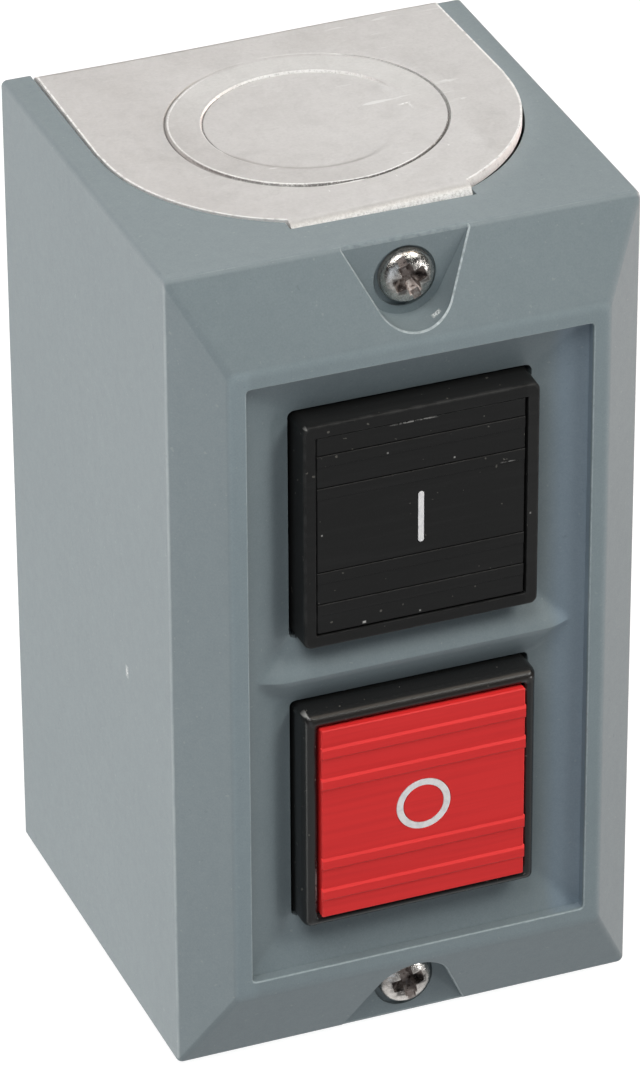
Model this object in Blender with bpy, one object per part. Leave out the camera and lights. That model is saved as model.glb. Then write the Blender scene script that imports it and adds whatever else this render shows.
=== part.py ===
"""Two-button control station: a sheet-steel base with conduit knockouts, a moulded cover held by two
screws, and two spring-returned push buttons, each over its own contact block (start on top: normally
open, stop below: normally closed).

Frame: origin at the centre of the rear wall face, +X to the right seen from the front, the front
faces -Y, +Z up. Dimensions are in millimetres; finish() scales each mesh to metres.
"""

import math

import bmesh
import bpy
from mathutils import Matrix, Vector

for old in list(bpy.data.objects):
    bpy.data.objects.remove(old, do_unlink=True)

MM = 0.001
GAP = 0.3                       # clearance between neighbouring pieces
PAST = 1.0                      # how far a through cutter runs past the surface
OVERLAP = 0.02                  # overlap of shapes that would otherwise just touch
SMOOTH_ANGLE = math.radians(30)
FRONT, BACK = -1, 1             # directions along Y
SIDES = (1, -1)

# Places shared by several pieces
BUTTON_Z = 18.9                 # distance of each button's axis from the middle
SCREW_Z = 47.0                  # distance of each cover screw from the middle
FOOT_SCREW_Z = 10.7             # distance of a block screw from its button's axis
EARTH_X, EARTH_Z = 17.0, -41.5
TERMINAL_X = 18.8


# ---------------------------------------------------------------- outlines

def arc(radius, start, end, steps, u=0.0, v=0.0):
    """steps + 1 points from angle start to angle end (radians) about (u, v)."""
    angles = [start + (end - start) * i / steps for i in range(steps + 1)]
    return [(u + radius * math.cos(t), v + radius * math.sin(t)) for t in angles]


def ring(radius, count, u=0.0, v=0.0):
    return arc(radius, 0.0, 2 * math.pi, count, u, v)[:-1]


def arc_band(outer, inner, start, end, steps, v):
    """Outline of a part ring about (0, v), its angles in degrees."""
    start, end = math.radians(start), math.radians(end)
    return arc(outer, start, end, steps, v=v) + arc(inner, start, end, steps, v=v)[::-1]


def rounded_rect(half_u, half_v, radius, v=0.0, steps=2):
    """A rectangle about (0, v) with steps + 1 points per corner."""
    points = []
    for i, (sign_u, sign_v) in enumerate(((1, 1), (-1, 1), (-1, -1), (1, -1))):
        start = math.pi / 2 * i
        points += arc(radius, start, start + math.pi / 2, steps,
                      sign_u * (half_u - radius), v + sign_v * (half_v - radius))
    return points


def rect_loop(y, half_x, half_z, radius, z=0.0, steps=2):
    """A rounded rectangle as points in space at depth y."""
    return [(u, y, v) for u, v in rounded_rect(half_x, half_z, radius, z, steps)]


def round_corners(points, radii, steps=4):
    """A closed outline with its right-angled corners rounded; radius 0 leaves a corner sharp."""
    out = []
    for i, (point, radius) in enumerate(zip(points, radii)):
        if not radius:
            out.append(point)
            continue
        corner = Vector(point)
        before = Vector(points[i - 1])
        after = Vector(points[(i + 1) % len(points)])
        start = corner + (before - corner).normalized() * radius
        end = corner + (after - corner).normalized() * radius
        centre = start + (end - corner)
        angle = math.atan2(start.y - centre.y, start.x - centre.x)
        end_angle = math.atan2(end.y - centre.y, end.x - centre.x)
        sweep = (end_angle - angle + math.pi) % (2 * math.pi) - math.pi
        out += arc(radius, angle, angle + sweep, steps, centre.x, centre.y)
    return out


def smooth_stations(stations, reaches, steps):
    """Replaces each inner station (y, half x, half z, radius) by a curve.

    reaches holds, for each inner station, the length the curve takes on either side of it.
    """
    out = [stations[0]]
    for before, station, after, reach in zip(stations, stations[1:], stations[2:], reaches):
        ends = []
        for other in (before, after):
            part = min(reach / math.dist(station[:3], other[:3]), 0.49)
            ends.append([a + (b - a) * part for a, b in zip(station, other)])
        for k in range(steps + 1):
            t = k / steps
            out.append(tuple((1 - t) ** 2 * start + 2 * t * (1 - t) * middle + t * t * end
                             for start, middle, end in zip(ends[0], station, ends[1])))
    out.append(stations[-1])
    return out


# ---------------------------------------------------------------- solids

def new_object(bm):
    bmesh.ops.recalc_face_normals(bm, faces=bm.faces)
    mesh = bpy.data.meshes.new("part")
    bm.to_mesh(mesh)
    bm.free()
    obj = bpy.data.objects.new("part", mesh)
    bpy.context.scene.collection.objects.link(obj)
    return obj


def loft(loops):
    """A closed skin over loops of equally many points. The first loop may be a single point."""
    bm = bmesh.new()
    rows = [[bm.verts.new(p) for p in loop] for loop in loops]
    for end in (rows[0], rows[-1]):
        if len(end) > 1:
            bm.faces.new(end)
    for a, b in zip(rows, rows[1:]):
        for i in range(len(b)):
            j = (i + 1) % len(b)
            if len(a) == 1:
                bm.faces.new((a[0], b[i], b[j]))
            else:
                bm.faces.new((a[i], a[j], b[j], b[i]))
    return new_object(bm)


def place(axis, u, v, height):
    """A point from an outline (u, v) and a height. Y: u=x, v=z. Z: u=x, v=y. X: u=y, v=z."""
    return {"Y": (u, height, v), "Z": (u, v, height), "X": (height, u, v)}[axis]


def prism(outline, axis, start, end):
    return loft([[place(axis, u, v, height) for u, v in outline] for height in sorted((start, end))])


def box(x0, x1, y0, y1, z0, z1):
    """A box between two limits per axis; the x and z limits may come in either order."""
    x0, x1 = sorted((x0, x1))
    z0, z1 = sorted((z0, z1))
    return prism([(x0, z0), (x1, z0), (x1, z1), (x0, z1)], "Y", y0, y1)


def lathe(profile, x, z, count=24):
    """A turned solid about the line through (x, z) along Y. profile is (radius, y), end to end."""
    return loft([[(u, y, v) for u, v in ring(radius, count, x, z)] if radius else [(x, y, z)]
                 for radius, y in profile])


def cylinder(radius, y0, y1, x, z, count=24):
    return lathe([(radius, y0), (radius, y1)], x, z, count)


def hull(points):
    bm = bmesh.new()
    for p in points:
        bm.verts.new(p)
    found = bmesh.ops.convex_hull(bm, input=bm.verts)
    unused = [v for v in found["geom_interior"] if isinstance(v, bmesh.types.BMVert)]
    if unused:
        bmesh.ops.delete(bm, geom=unused, context="VERTS")
    bmesh.ops.dissolve_limit(bm, angle_limit=math.radians(0.2), verts=bm.verts, edges=bm.edges)
    return new_object(bm)


def combine(target, other, operation):
    """Applies a boolean to target and removes the other solid."""
    mod = target.modifiers.new("combine", "BOOLEAN")
    mod.object = other
    mod.operation = operation
    mod.solver = "EXACT"
    graph = bpy.context.evaluated_depsgraph_get()
    graph.update()
    mesh = bpy.data.meshes.new_from_object(target.evaluated_get(graph))
    target.modifiers.clear()
    spent = target.data
    target.data = mesh
    bpy.data.meshes.remove(spent)
    bpy.data.objects.remove(other, do_unlink=True)


def cut(target, *others):
    for other in others:
        combine(target, other, "DIFFERENCE")


def join(target, other):
    combine(target, other, "UNION")


def drill(body, radius, front, back, x, z, count):
    """A hole right through the material between front and back."""
    cut(body, cylinder(radius, front - PAST, back + PAST, x, z, count))


def drill_feet(body, radius, front, back, centres=(BUTTON_Z, -BUTTON_Z)):
    """The two block screw holes about each of the given button heights."""
    for centre in centres:
        for side in SIDES:
            drill(body, radius, front, back, 0, centre + side * FOOT_SCREW_Z, 14)


def bevel_edges(obj, width, segments, pick):
    bm = bmesh.new()
    bm.from_mesh(obj.data)
    bmesh.ops.bevel(bm, geom=[e for e in bm.edges if pick(e)], offset=width, offset_type="OFFSET",
                    segments=segments, profile=0.5, affect="EDGES", clamp_overlap=True)
    bm.to_mesh(obj.data)
    bm.free()


def runs_along_y(edge):
    return abs(edge.verts[0].co.y - edge.verts[1].co.y) > 0.5


# ---------------------------------------------------------------- materials

def material(name, colour, roughness, metallic=0.0):
    mat = bpy.data.materials.new(name)
    mat.use_nodes = True
    shader = mat.node_tree.nodes["Principled BSDF"]
    shader.inputs["Base Color"].default_value = (*colour, 1.0)
    shader.inputs["Roughness"].default_value = roughness
    shader.inputs["Metallic"].default_value = metallic
    return mat


GREY = material("grey_plastic", colour=(0.225, 0.275, 0.29), roughness=0.5)
BLACK = material("black_plastic", colour=(0.018, 0.018, 0.018), roughness=0.4)
RED = material("red_plastic", colour=(0.65, 0.025, 0.028), roughness=0.45)
ZINC = material("galvanised_steel", colour=(0.62, 0.60, 0.57), roughness=0.4, metallic=1.0)
NICKEL = material("plated_steel", colour=(0.72, 0.69, 0.64), roughness=0.25, metallic=1.0)
BRASS = material("brass", colour=(0.70, 0.50, 0.20), roughness=0.3, metallic=1.0)
PHENOLIC = material("phenolic", colour=(0.05, 0.035, 0.025), roughness=0.45)
SPRING = material("spring_steel", colour=(0.50, 0.50, 0.50), roughness=0.3, metallic=1.0)
FIBRE = material("fibre", colour=(0.38, 0.27, 0.17), roughness=0.8)
GREEN = material("green_steel", colour=(0.03, 0.30, 0.08), roughness=0.35, metallic=0.3)


def finish(obj, name, look, origin=(0.0, 0.0, 0.0)):
    """Names the solid, scales it to metres, moves its origin and gives it its material."""
    shift = Matrix.Translation([-c for c in origin])
    obj.data.transform(Matrix.Scale(MM, 4) @ shift)
    obj.location = Vector(origin) * MM
    obj.name = name
    obj.data.name = name
    obj.data.materials.clear()
    obj.data.materials.append(look)
    obj.data.shade_smooth()
    obj.data.set_sharp_from_angle(angle=SMOOTH_ANGLE)


# ---------------------------------------------------------------- base

STEEL = 1.2                     # sheet thickness
BASE_W = 50.8
FLANGE_Z = 52.6                 # outer face of the top flange
ARC_Y = -22.4                   # centre of the flange's round front
ARC_R = BASE_W / 2
TAB_W = 22.2
TAB_Y = -47.1                   # front of the tab and of the lip
LIP_END_Z = 42.0
LIP_HOLE_R = 2.0
# (x, z) of the piece cut off each side of a lip
LIP_CUT = [(7.5, 40.0), (14.0, 40.0), (14.0, 50.4), (10.2, 50.4), (7.5, 47.7)]

KNOCKOUT_Y = -22.8
KNOCKOUT_DEPTH = 0.5
KNOCKOUT_RINGS = [(16.0, 0.45, 60.0), (12.2, 0.40, 35.0)]   # outer radius, width, tie angle
TIE_HALF_ANGLE = 5.0

WALL_HOLE_R, WALL_HOLE_Z = 2.6, 40.0
BASE_FOOT_HOLE_R = 1.8
EARTH_HOLE_R = 2.1


def flange_outline(grow=0.0, tab_grow=0.0):
    """The flange from above: straight sides, a round front and a straight tab across the middle."""
    radius = ARC_R + grow
    tab = TAB_W / 2 + tab_grow
    half = [(radius, 4.0)]
    half += arc(radius, 0.0, -math.acos(tab / radius), 12, v=ARC_Y)
    half.append((tab, TAB_Y - grow))
    return half + [(-x, y) for x, y in reversed(half)]


def trim_lips(body):
    """Makes the lips narrower than the tab beside them and drills their screw holes."""
    back = TAB_Y + STEEL
    for end in SIDES:
        for side in SIDES:
            outline = [(side * x, end * z) for x, z in LIP_CUT]
            cut(body, prism(outline, "Y", TAB_Y - PAST, back + PAST))
        drill(body, LIP_HOLE_R, TAB_Y, back, 0, end * SCREW_Z, 20)


def groove_knockouts(body):
    """Shallow rings in the outside of the flanges, each broken by two tie points."""
    for end in SIDES:
        for radius, width, tie in KNOCKOUT_RINGS:
            for start in (tie, tie + 180.0):
                outline = arc_band(radius, radius - width, start + TIE_HALF_ANGLE,
                                   start + 180.0 - TIE_HALF_ANGLE, 16, KNOCKOUT_Y)
                cut(body, prism(outline, "Z", end * (FLANGE_Z - KNOCKOUT_DEPTH),
                                end * (FLANGE_Z + PAST)))


def base_plate():
    """Back panel, a knockout flange bent forward at each end, and a lip bent in at its front."""
    # (y, z, corner radius) of the upper half of the side profile
    upper = [
        (0.0, FLANGE_Z, 1.8), (TAB_Y, FLANGE_Z, 0.6),
        (TAB_Y, LIP_END_Z, 0.0), (TAB_Y + STEEL, LIP_END_Z, 0.0),
        (TAB_Y + STEEL, FLANGE_Z - STEEL, 0.3), (-STEEL, FLANGE_Z - STEEL, 0.6),
    ]
    corners = upper + [(y, -z, radius) for y, z, radius in reversed(upper)]
    profile = round_corners([(y, z) for y, z, _ in corners], [radius for _, _, radius in corners])
    body = prism(profile, "X", -BASE_W / 2, BASE_W / 2)
    combine(body, prism(flange_outline(), "Z", -60.0, 60.0), "INTERSECT")
    trim_lips(body)
    groove_knockouts(body)
    for side in SIDES:
        drill(body, WALL_HOLE_R, -STEEL, 0.0, 0, side * WALL_HOLE_Z, 20)
    drill_feet(body, BASE_FOOT_HOLE_R, -STEEL, 0.0)
    drill(body, EARTH_HOLE_R, -STEEL, 0.0, EARTH_X, EARTH_Z, 14)
    return body


# ---------------------------------------------------------------- cover

COVER_W = 57.0                  # width at the front edge
COVER_W_REAR = 57.6             # width at the wall (mould draft)
COVER_H = 104.0
WALL = 2.5
EDGE_Y = -52.8                  # where the side walls end and the sloped border starts
INNER_Y = -50.6                 # inside of the front wall
RIM_Y = -57.9                   # flat rim around the button well
RIM_W, RIM_H = 45.5, 82.4       # outside of the rim
RIM_BREADTH = 1.9
WELL_W, WELL_H = RIM_W - 2 * RIM_BREADTH, RIM_H - 2 * RIM_BREADTH
WELL_Y = -56.5                  # foot of the short wall behind the rim
FLOOR_Y = -54.4                 # bottom of each funnel, at the button opening
OPENING = 29.5
BEYOND_Y = -62.0                # in front of the whole cover

RIDGE_Y = -57.2                 # crest of the divider between the buttons
RIDGE_HALF = 17.4               # half length of the crest
RIDGE_END_Y, RIDGE_END_X = -56.2, 19.9
RIDGE_FOOT_X, RIDGE_BACK_Y = 15.6, -52.0

POCKET_Y = -52.75               # flat floor of a screw pocket
POCKET_R = 4.75
POCKET_TOP = 7.75               # half width of a pocket at the cover's end edge
SEAT_Y = -52.2                  # bottom of the shallow counterbore the head sits in
SEAT_R = 3.85
COVER_HOLE_R = 2.0
BOSS_R, BOSS_BACK = 4.6, -48.6
BOSS_END_Z = 51.0               # the boss is cut off here, inside the end wall
RETAINER_SPACE_R = 4.0
NOTCH_TAB_GAP = 0.45            # clearance beside the base's tab
NOTCH_Z = (48.0, 56.0)


def cover_shell():
    """Hollow box with a sloped border rising to the flat rim."""
    half_rear, half_front, half_h = COVER_W_REAR / 2, COVER_W / 2, COVER_H / 2
    # y, half width, half height, corner radius
    stations = [
        (0.0, half_rear, half_h, 0.7),
        (EDGE_Y, half_front, half_h, 0.7),
        (RIM_Y, RIM_W / 2, RIM_H / 2, 0.9),
        (RIM_Y, WELL_W / 2, WELL_H / 2, 0.5),
    ]
    body = loft([rect_loop(*station) for station in smooth_stations(stations, (0.55, 0.95), 3)])
    cut(body, loft([rect_loop(3.0, half_rear - WALL, half_h - WALL, 1.2),
                    rect_loop(INNER_Y, half_front - WALL, half_h - WALL, 1.2)]))
    return body


def cut_well(body):
    """A short wall behind the rim, then a funnel and a square opening for each button."""
    half_w, half_h, half_open = WELL_W / 2, WELL_H / 2, OPENING / 2
    cut(body, prism(rounded_rect(half_w, half_h, 0.5), "Y", BEYOND_Y, WELL_Y))
    for side in SIDES:
        mouth = [(x, WELL_Y - OVERLAP, side * z)
                 for x in (-half_w, half_w) for z in (-OVERLAP, half_h)]
        throat = [(x, FLOOR_Y, side * z) for x in (-half_open, half_open)
                  for z in (BUTTON_Z - half_open, BUTTON_Z + half_open)]
        cut(body, hull(mouth + throat))
        opening = rounded_rect(half_open, half_open, 0.8, side * BUTTON_Z)
        cut(body, prism(opening, "Y", -56.0, INNER_Y + 2.0))


def divider_ridge():
    """Ridge between the buttons, its ends running out into the well."""
    half_z = BUTTON_Z - OPENING / 2
    points = []
    for side in SIDES:
        points += [(side * RIDGE_HALF, RIDGE_Y, 0), (side * RIDGE_END_X, RIDGE_END_Y, 0)]
        points += [(side * RIDGE_FOOT_X, y, z)
                   for y in (FLOOR_Y - OVERLAP, RIDGE_BACK_Y) for z in (half_z, -half_z)]
    return hull(points)


def pocket_outline(end):
    """Round bottom with straight tangent sides that widen towards the cover's end edge."""
    rise = COVER_H / 2 - SCREW_Z
    tangent = math.atan2(rise, POCKET_TOP) - math.acos(POCKET_R / math.hypot(POCKET_TOP, rise))
    slope = ((POCKET_TOP - POCKET_R * math.cos(tangent))
             / (rise - POCKET_R * math.sin(tangent)))
    wide = POCKET_TOP + slope * PAST
    top = COVER_H / 2 + PAST
    outline = arc(POCKET_R, tangent, -math.pi - tangent, 14, v=SCREW_Z)
    outline += [(-wide, top), (wide, top)]
    return [(x, end * z) for x, z in outline]


def shape_screw_end(body, end):
    """Screw pocket, boss behind it, screw hole, and the notch for the base's flange."""
    z = end * SCREW_Z
    cut(body, prism(pocket_outline(end), "Y", BEYOND_Y, POCKET_Y))
    boss = cylinder(BOSS_R, BOSS_BACK, INNER_Y - 1.0, 0, z)
    combine(boss, box(-6, 6, -53, -45, end * 40, end * BOSS_END_Z), "INTERSECT")
    join(body, boss)
    cut(body, cylinder(SEAT_R, -56.0, SEAT_Y, 0, z, 28))
    drill(body, COVER_HOLE_R, SEAT_Y, BOSS_BACK, 0, z, 20)
    cut(body, cylinder(RETAINER_SPACE_R, BOSS_BACK, -45.0, 0, z))
    cut(body, prism(flange_outline(GAP, NOTCH_TAB_GAP), "Z", end * NOTCH_Z[0], end * NOTCH_Z[1]))


def cover():
    body = cover_shell()
    cut_well(body)
    join(body, divider_ridge())
    for end in SIDES:
        shape_screw_end(body, end)
    return body


# ---------------------------------------------------------------- button depths and block sizes

COLLAR_BACK = -46.0             # back of the plunger's collar, where the return spring bears
STEP_Y = -31.0                  # where the plunger gets thinner

TOWER_X, TOWER_Z = 13.5, 7.5    # half sizes
TOWER_Y = -38.0
SHOULDER_X, SHOULDER_Y = 24.0, -18.9
BLOCK_BACK = -6.3
CAVITY_X, CAVITY_Z = 11.4, 4.7
CAVITY_Y = -34.5
FOOT_X, FOOT_Z = 8.0, 13.0
FOOT_Y = -10.0
BARRIER_X, BARRIER_Z = 13.0, 5.6    # inner limits of the finger barriers
BARRIER_Y = (-25.5, -12.0)
GUIDE_R = 3.9
BLOCK_FOOT_HOLE_R = 1.8

SHEET_BACK = -STEEL - GAP       # insulator sheet in front of the back panel
SHEET_FRONT = SHEET_BACK - 0.5
BLOCK_BASE_Y = (BLOCK_BACK + GAP, SHEET_FRONT - GAP)

STRIP = 1.0                     # thickness of the fixed contact strips
STRIP_BACK = SHOULDER_Y - GAP
STRIP_FRONT = STRIP_BACK - STRIP
STRIP_X = (6.6, 22.5)
STRIP_HALF_Z = 3.0
TERMINAL_HOLE_R = 2.1
TIP_X, TIP_R, TIP_CHAMFER = 8.6, 1.6, 0.3

CLAMP_HALF = 3.4
CLAMP_BACK = STRIP_FRONT - GAP
CLAMP_FRONT = CLAMP_BACK - 1.0

BRIDGE = 0.8                    # thickness of the moving bridges
BRIDGE_X, BRIDGE_Z = 10.6, 2.6
BRIDGE_HOLE_R = 2.1
START_BRIDGE_Y, STOP_BRIDGE_Y = -25.7, -17.1    # front faces


# ---------------------------------------------------------------- fasteners

# radius and depth below the top of a pan head, as parts of its radius and height
PAN_SHAPE = [(0.0, 0.0), (0.45, 0.03), (0.72, 0.14), (0.90, 0.36), (1.0, 0.66), (1.0, 1.0)]

COVER_SCREW = dict(seat=SEAT_Y - 0.02, tip=-43.6, head_r=3.1, head_h=1.95, shank_r=1.65,
                   cross=True, count=24)
TERMINAL_SCREW = dict(seat=CLAMP_FRONT - GAP, tip=-12.0, head_r=3.0, head_h=2.1, shank_r=1.75,
                      cross=False, count=14)
BLOCK_SCREW = dict(seat=FOOT_Y - GAP, tip=-0.4, head_r=2.7, head_h=1.9, shank_r=1.45,
                   cross=False, count=12)

CROSS_LEVELS = [(-0.6, 1.95, 0.50), (1.35, 0.75, 0.30)]   # depth, half length, half width

EARTH_TOP = -4.6
EARTH_HEX_R = 3.4
EARTH_FLANGE = [(4.2, -2.3), (4.4, -1.9), (4.4, SHEET_BACK), (1.8, SHEET_BACK), (1.8, -0.3)]

RETAINER_Y = (BOSS_BACK + GAP, -47.7)
RETAINER_HOLE_R, RETAINER_R = 1.95, 3.6


def turned(x, z, turn, u, v):
    """The offset (u, v) turned by an angle and set about (x, z)."""
    c, s = math.cos(turn), math.sin(turn)
    return x + u * c - v * s, z + u * s + v * c


def slot_cutter(x, z, top, reach, turn, width=0.95, depth=0.75):
    half = width / 2
    outline = [turned(x, z, turn, u, v)
               for u, v in ((-half, -reach), (half, -reach), (half, reach), (-half, reach))]
    return prism(outline, "Y", top - PAST, top + depth)


def cross_cutter(x, z, top, turn):
    """One tapered arm pair of the cross recess."""
    points = []
    for depth, length, width in CROSS_LEVELS:
        for u in (-length, length):
            for v in (-width, width):
                px, pz = turned(x, z, turn, u, v)
                points.append((px, top + depth, pz))
    return hull(points)


def pan_screw(x, z, turn, seat, tip, head_r, head_h, shank_r, cross, count):
    """Slotted head in front of seat, shank running back to tip."""
    top = seat - head_h
    profile = [(head_r * radius, top + head_h * depth) for radius, depth in PAN_SHAPE]
    profile += [(shank_r, seat), (shank_r, tip - 0.5), (shank_r * 0.6, tip)]
    body = lathe(profile, x, z, count)
    cut(body, slot_cutter(x, z, top, head_r + 1, turn))
    if cross:
        for arm_turn in (turn, turn + math.pi / 2):
            cut(body, cross_cutter(x, z, top, arm_turn))
    return body


def screw_retainer(z):
    body = cylinder(RETAINER_R, *RETAINER_Y, 0, z, 20)
    drill(body, RETAINER_HOLE_R, *RETAINER_Y, 0, z, 20)
    return body


def earth_screw():
    """Slotted hexagon washer-head screw in the back panel."""
    body = lathe(EARTH_FLANGE, EARTH_X, EARTH_Z, 20)
    join(body, prism(ring(EARTH_HEX_R, 6, EARTH_X, EARTH_Z), "Y", EARTH_TOP, -2.0))
    cut(body, slot_cutter(EARTH_X, EARTH_Z, EARTH_TOP, 4.6, 0.5, width=1.0, depth=1.0))
    return body


# ---------------------------------------------------------------- buttons

CAP_REAR, CAP_FRONT = 28.9, 28.7    # widths of the tapered square cap
CAP_Y = -58.2
CAP_FRAME = 1.6                     # inset of the cap's innermost front loop
CAP_FLANGE, CAP_FLANGE_BACK = 31.6, -48.8
CAP_HOLLOW_HALF, CAP_HOLLOW_Y = 12.0, -54.6
CAP_BOSS_R, CAP_BOSS_Y = 5.0, (-55.0, -47.5)
CAP_BORE_R, CAP_BORE_Y = 3.8, -53.6

PLATE_W, PLATE_H = 25.2, 25.4
PLATE_POCKET = PLATE_W + 2 * GAP
PLATE_BACK = -56.7
START_FACE, STOP_FACE = -58.1, -58.95
PLATE_CHAMFER = 0.2
RIB_H, RIB_W = 0.45, 1.45
RIB_Z = (5.45, 9.6)
RIB_INSET, RIB_CHAMFER = 0.03, 0.22

# (radius, y) of the front part of both plungers and of their different tails
PLUNGER_HEAD = [(3.1, -53.2), (3.5, -52.8), (3.5, -47.2), (6.2, -47.2), (6.2, COLLAR_BACK),
                (3.5, COLLAR_BACK), (3.5, STEP_Y)]
START_TAIL = [(1.8, STEP_Y), (1.8, -24.7), (1.4, -24.7), (1.4, -23.9), (1.8, -23.9),
              (1.8, -22.8), (1.4, -22.4)]
STOP_TAIL = [(2.5, -30.0), (2.5, -19.0), (2.1, -18.4)]

COIL_STEPS = 10                 # per turn
WIRE_SIDES = 5
CLOSED_TURNS = 0.8              # wound close at each end


def button_cap(z, edge, edge_steps):
    """Square frame round the legend plate, a stop flange behind the cover, a boss for the plunger."""
    rear, front = CAP_REAR / 2, CAP_FRONT / 2
    inside = front - CAP_FRAME
    # y, half width, half height, corner radius
    stations = [(-50.0, rear, rear, 0.9), (CAP_Y, front, front, 0.9), (CAP_Y, inside, inside, 0.3)]
    body = loft([rect_loop(*station, z=z)
                 for station in smooth_stations(stations, (edge,), edge_steps)])
    flange = rounded_rect(CAP_FLANGE / 2, CAP_FLANGE / 2, 1.0, z)
    join(body, prism(flange, "Y", INNER_Y + GAP, CAP_FLANGE_BACK))
    pocket = PLATE_POCKET / 2
    cut(body, box(-pocket, pocket, -60.0, PLATE_BACK + GAP, z - pocket, z + pocket))
    hollow = rounded_rect(CAP_HOLLOW_HALF, CAP_HOLLOW_HALF, 0.8, z)
    cut(body, prism(hollow, "Y", CAP_HOLLOW_Y, -47.0))
    join(body, cylinder(CAP_BOSS_R, *CAP_BOSS_Y, 0, z))
    cut(body, cylinder(CAP_BORE_R, CAP_BORE_Y, -46.0, 0, z, 20))
    return body


def plate_rib(z, face):
    """A chamfered rib across the plate, rooted in its face."""
    half_x, half_z = PLATE_W / 2 - RIB_INSET, RIB_W / 2
    levels = ((face + 0.3, 0.0), (face - RIB_H + RIB_CHAMFER, 0.0), (face - RIB_H, RIB_CHAMFER))
    return hull([(side * (half_x - inset), y, z + edge * (half_z - inset))
                 for side in SIDES for edge in SIDES for y, inset in levels])


def legend_plate(z, face):
    """Chamfered plate with two raised ribs above and two below its plain middle band."""
    levels = ((PLATE_BACK, 0.0), (face + PLATE_CHAMFER, 0.0), (face, PLATE_CHAMFER))
    body = loft([rect_loop(y, PLATE_W / 2 - inset, PLATE_H / 2 - inset, 0.4, z, steps=1)
                 for y, inset in levels])
    for rib_z in RIB_Z:
        for side in SIDES:
            join(body, plate_rib(z + side * rib_z, face))
    return body


def coil(z, radius, wire_r, front, back, turns):
    """Compression spring about the button's axis, its end turns wound close."""
    first, last = front + wire_r, back - wire_r
    pitch = 2.05 * wire_r
    open_start, open_end = first + pitch * CLOSED_TURNS, last - pitch * CLOSED_TURNS

    def depth(turn):
        if turn < CLOSED_TURNS:
            return first + pitch * turn
        if turn > turns - CLOSED_TURNS:
            return last - pitch * (turns - turn)
        part = (turn - CLOSED_TURNS) / (turns - 2 * CLOSED_TURNS)
        return open_start + (open_end - open_start) * part

    steps = int(turns * COIL_STEPS)
    loops = []
    for i in range(steps + 1):
        turn = i / steps * turns
        angle = 2 * math.pi * turn
        loops.append([((radius + out) * math.cos(angle), depth(turn) + along,
                       z + (radius + out) * math.sin(angle))
                      for out, along in ring(wire_r, WIRE_SIDES)])
    return loft(loops)


# ---------------------------------------------------------------- contact block

def contact_block(z):
    """Tower with the plunger's guide bore, terminal shoulders left and right, two screw feet."""
    body = box(-TOWER_X, TOWER_X, TOWER_Y, BLOCK_BACK, z - TOWER_Z, z + TOWER_Z)
    bevel_edges(body, 0.8, 2, lambda edge: all(v.co.y < TOWER_Y + 0.01 for v in edge.verts))
    join(body, box(-SHOULDER_X, SHOULDER_X, SHOULDER_Y, BLOCK_BACK, z - TOWER_Z, z + TOWER_Z))
    join(body, box(-FOOT_X, FOOT_X, FOOT_Y, BLOCK_BACK, z - FOOT_Z, z + FOOT_Z))
    # finger barriers above and below each terminal
    for side in SIDES:
        for edge in SIDES:
            join(body, box(side * BARRIER_X, side * SHOULDER_X, *BARRIER_Y,
                           z + edge * BARRIER_Z, z + edge * TOWER_Z))
    cut(body, box(-CAVITY_X, CAVITY_X, CAVITY_Y, BLOCK_BACK + PAST, z - CAVITY_Z, z + CAVITY_Z))
    drill(body, GUIDE_R, TOWER_Y, CAVITY_Y, 0, z, 20)
    # openings in the tower's sides for the contact strips, and blind holes for the terminal screws
    for side in SIDES:
        cut(body, box(side * 10.0, side * 14.5, STRIP_FRONT - GAP, SHOULDER_Y + 0.05,
                      z - 3.35, z + 3.35))
        cut(body, cylinder(TERMINAL_HOLE_R, -26.0, -11.5, side * TERMINAL_X, z, 16))
    drill_feet(body, BLOCK_FOOT_HOLE_R, FOOT_Y, BLOCK_BACK, (z,))
    return body


def block_base(z):
    """Flat moulded base that closes the block's rear."""
    body = prism(rounded_rect(SHOULDER_X, FOOT_Z, 2.0, z, steps=3), "Y", *BLOCK_BASE_Y)
    drill_feet(body, BLOCK_FOOT_HOLE_R, *BLOCK_BASE_Y, (z,))
    return body


def contact_tip(x, z, strip_front, thickness, direction):
    """Round tip rooted in the middle of a strip and standing proud by the strip's thickness."""
    middle = strip_front + thickness / 2
    end = middle + direction * 1.5 * thickness
    return lathe([(TIP_R, middle), (TIP_R, end - direction * TIP_CHAMFER),
                  (TIP_R - TIP_CHAMFER, end)], x, z, 16)


def fixed_contact(z, side, direction):
    """Flat strip from the terminal into the block, its tip facing the moving bridge."""
    body = box(side * STRIP_X[0], side * STRIP_X[1], STRIP_FRONT, STRIP_BACK,
               z - STRIP_HALF_Z, z + STRIP_HALF_Z)
    drill(body, TERMINAL_HOLE_R, STRIP_FRONT, STRIP_BACK, side * TERMINAL_X, z, 16)
    join(body, contact_tip(side * TIP_X, z, STRIP_FRONT, STRIP, direction))
    return body


def contact_bridge(z, front, direction):
    """Moving bridge with a tip at each end."""
    body = box(-BRIDGE_X, BRIDGE_X, front, front + BRIDGE, z - BRIDGE_Z, z + BRIDGE_Z)
    bevel_edges(body, 1.2, 2, runs_along_y)
    for side in SIDES:
        join(body, contact_tip(side * TIP_X, z, front, BRIDGE, direction))
    return body


def start_bridge(z):
    """Bridge with a hole for the plunger, its tips facing back."""
    body = contact_bridge(z, START_BRIDGE_Y, BACK)
    drill(body, BRIDGE_HOLE_R, START_BRIDGE_Y, START_BRIDGE_Y + BRIDGE, 0, z, 16)
    return body


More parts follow.
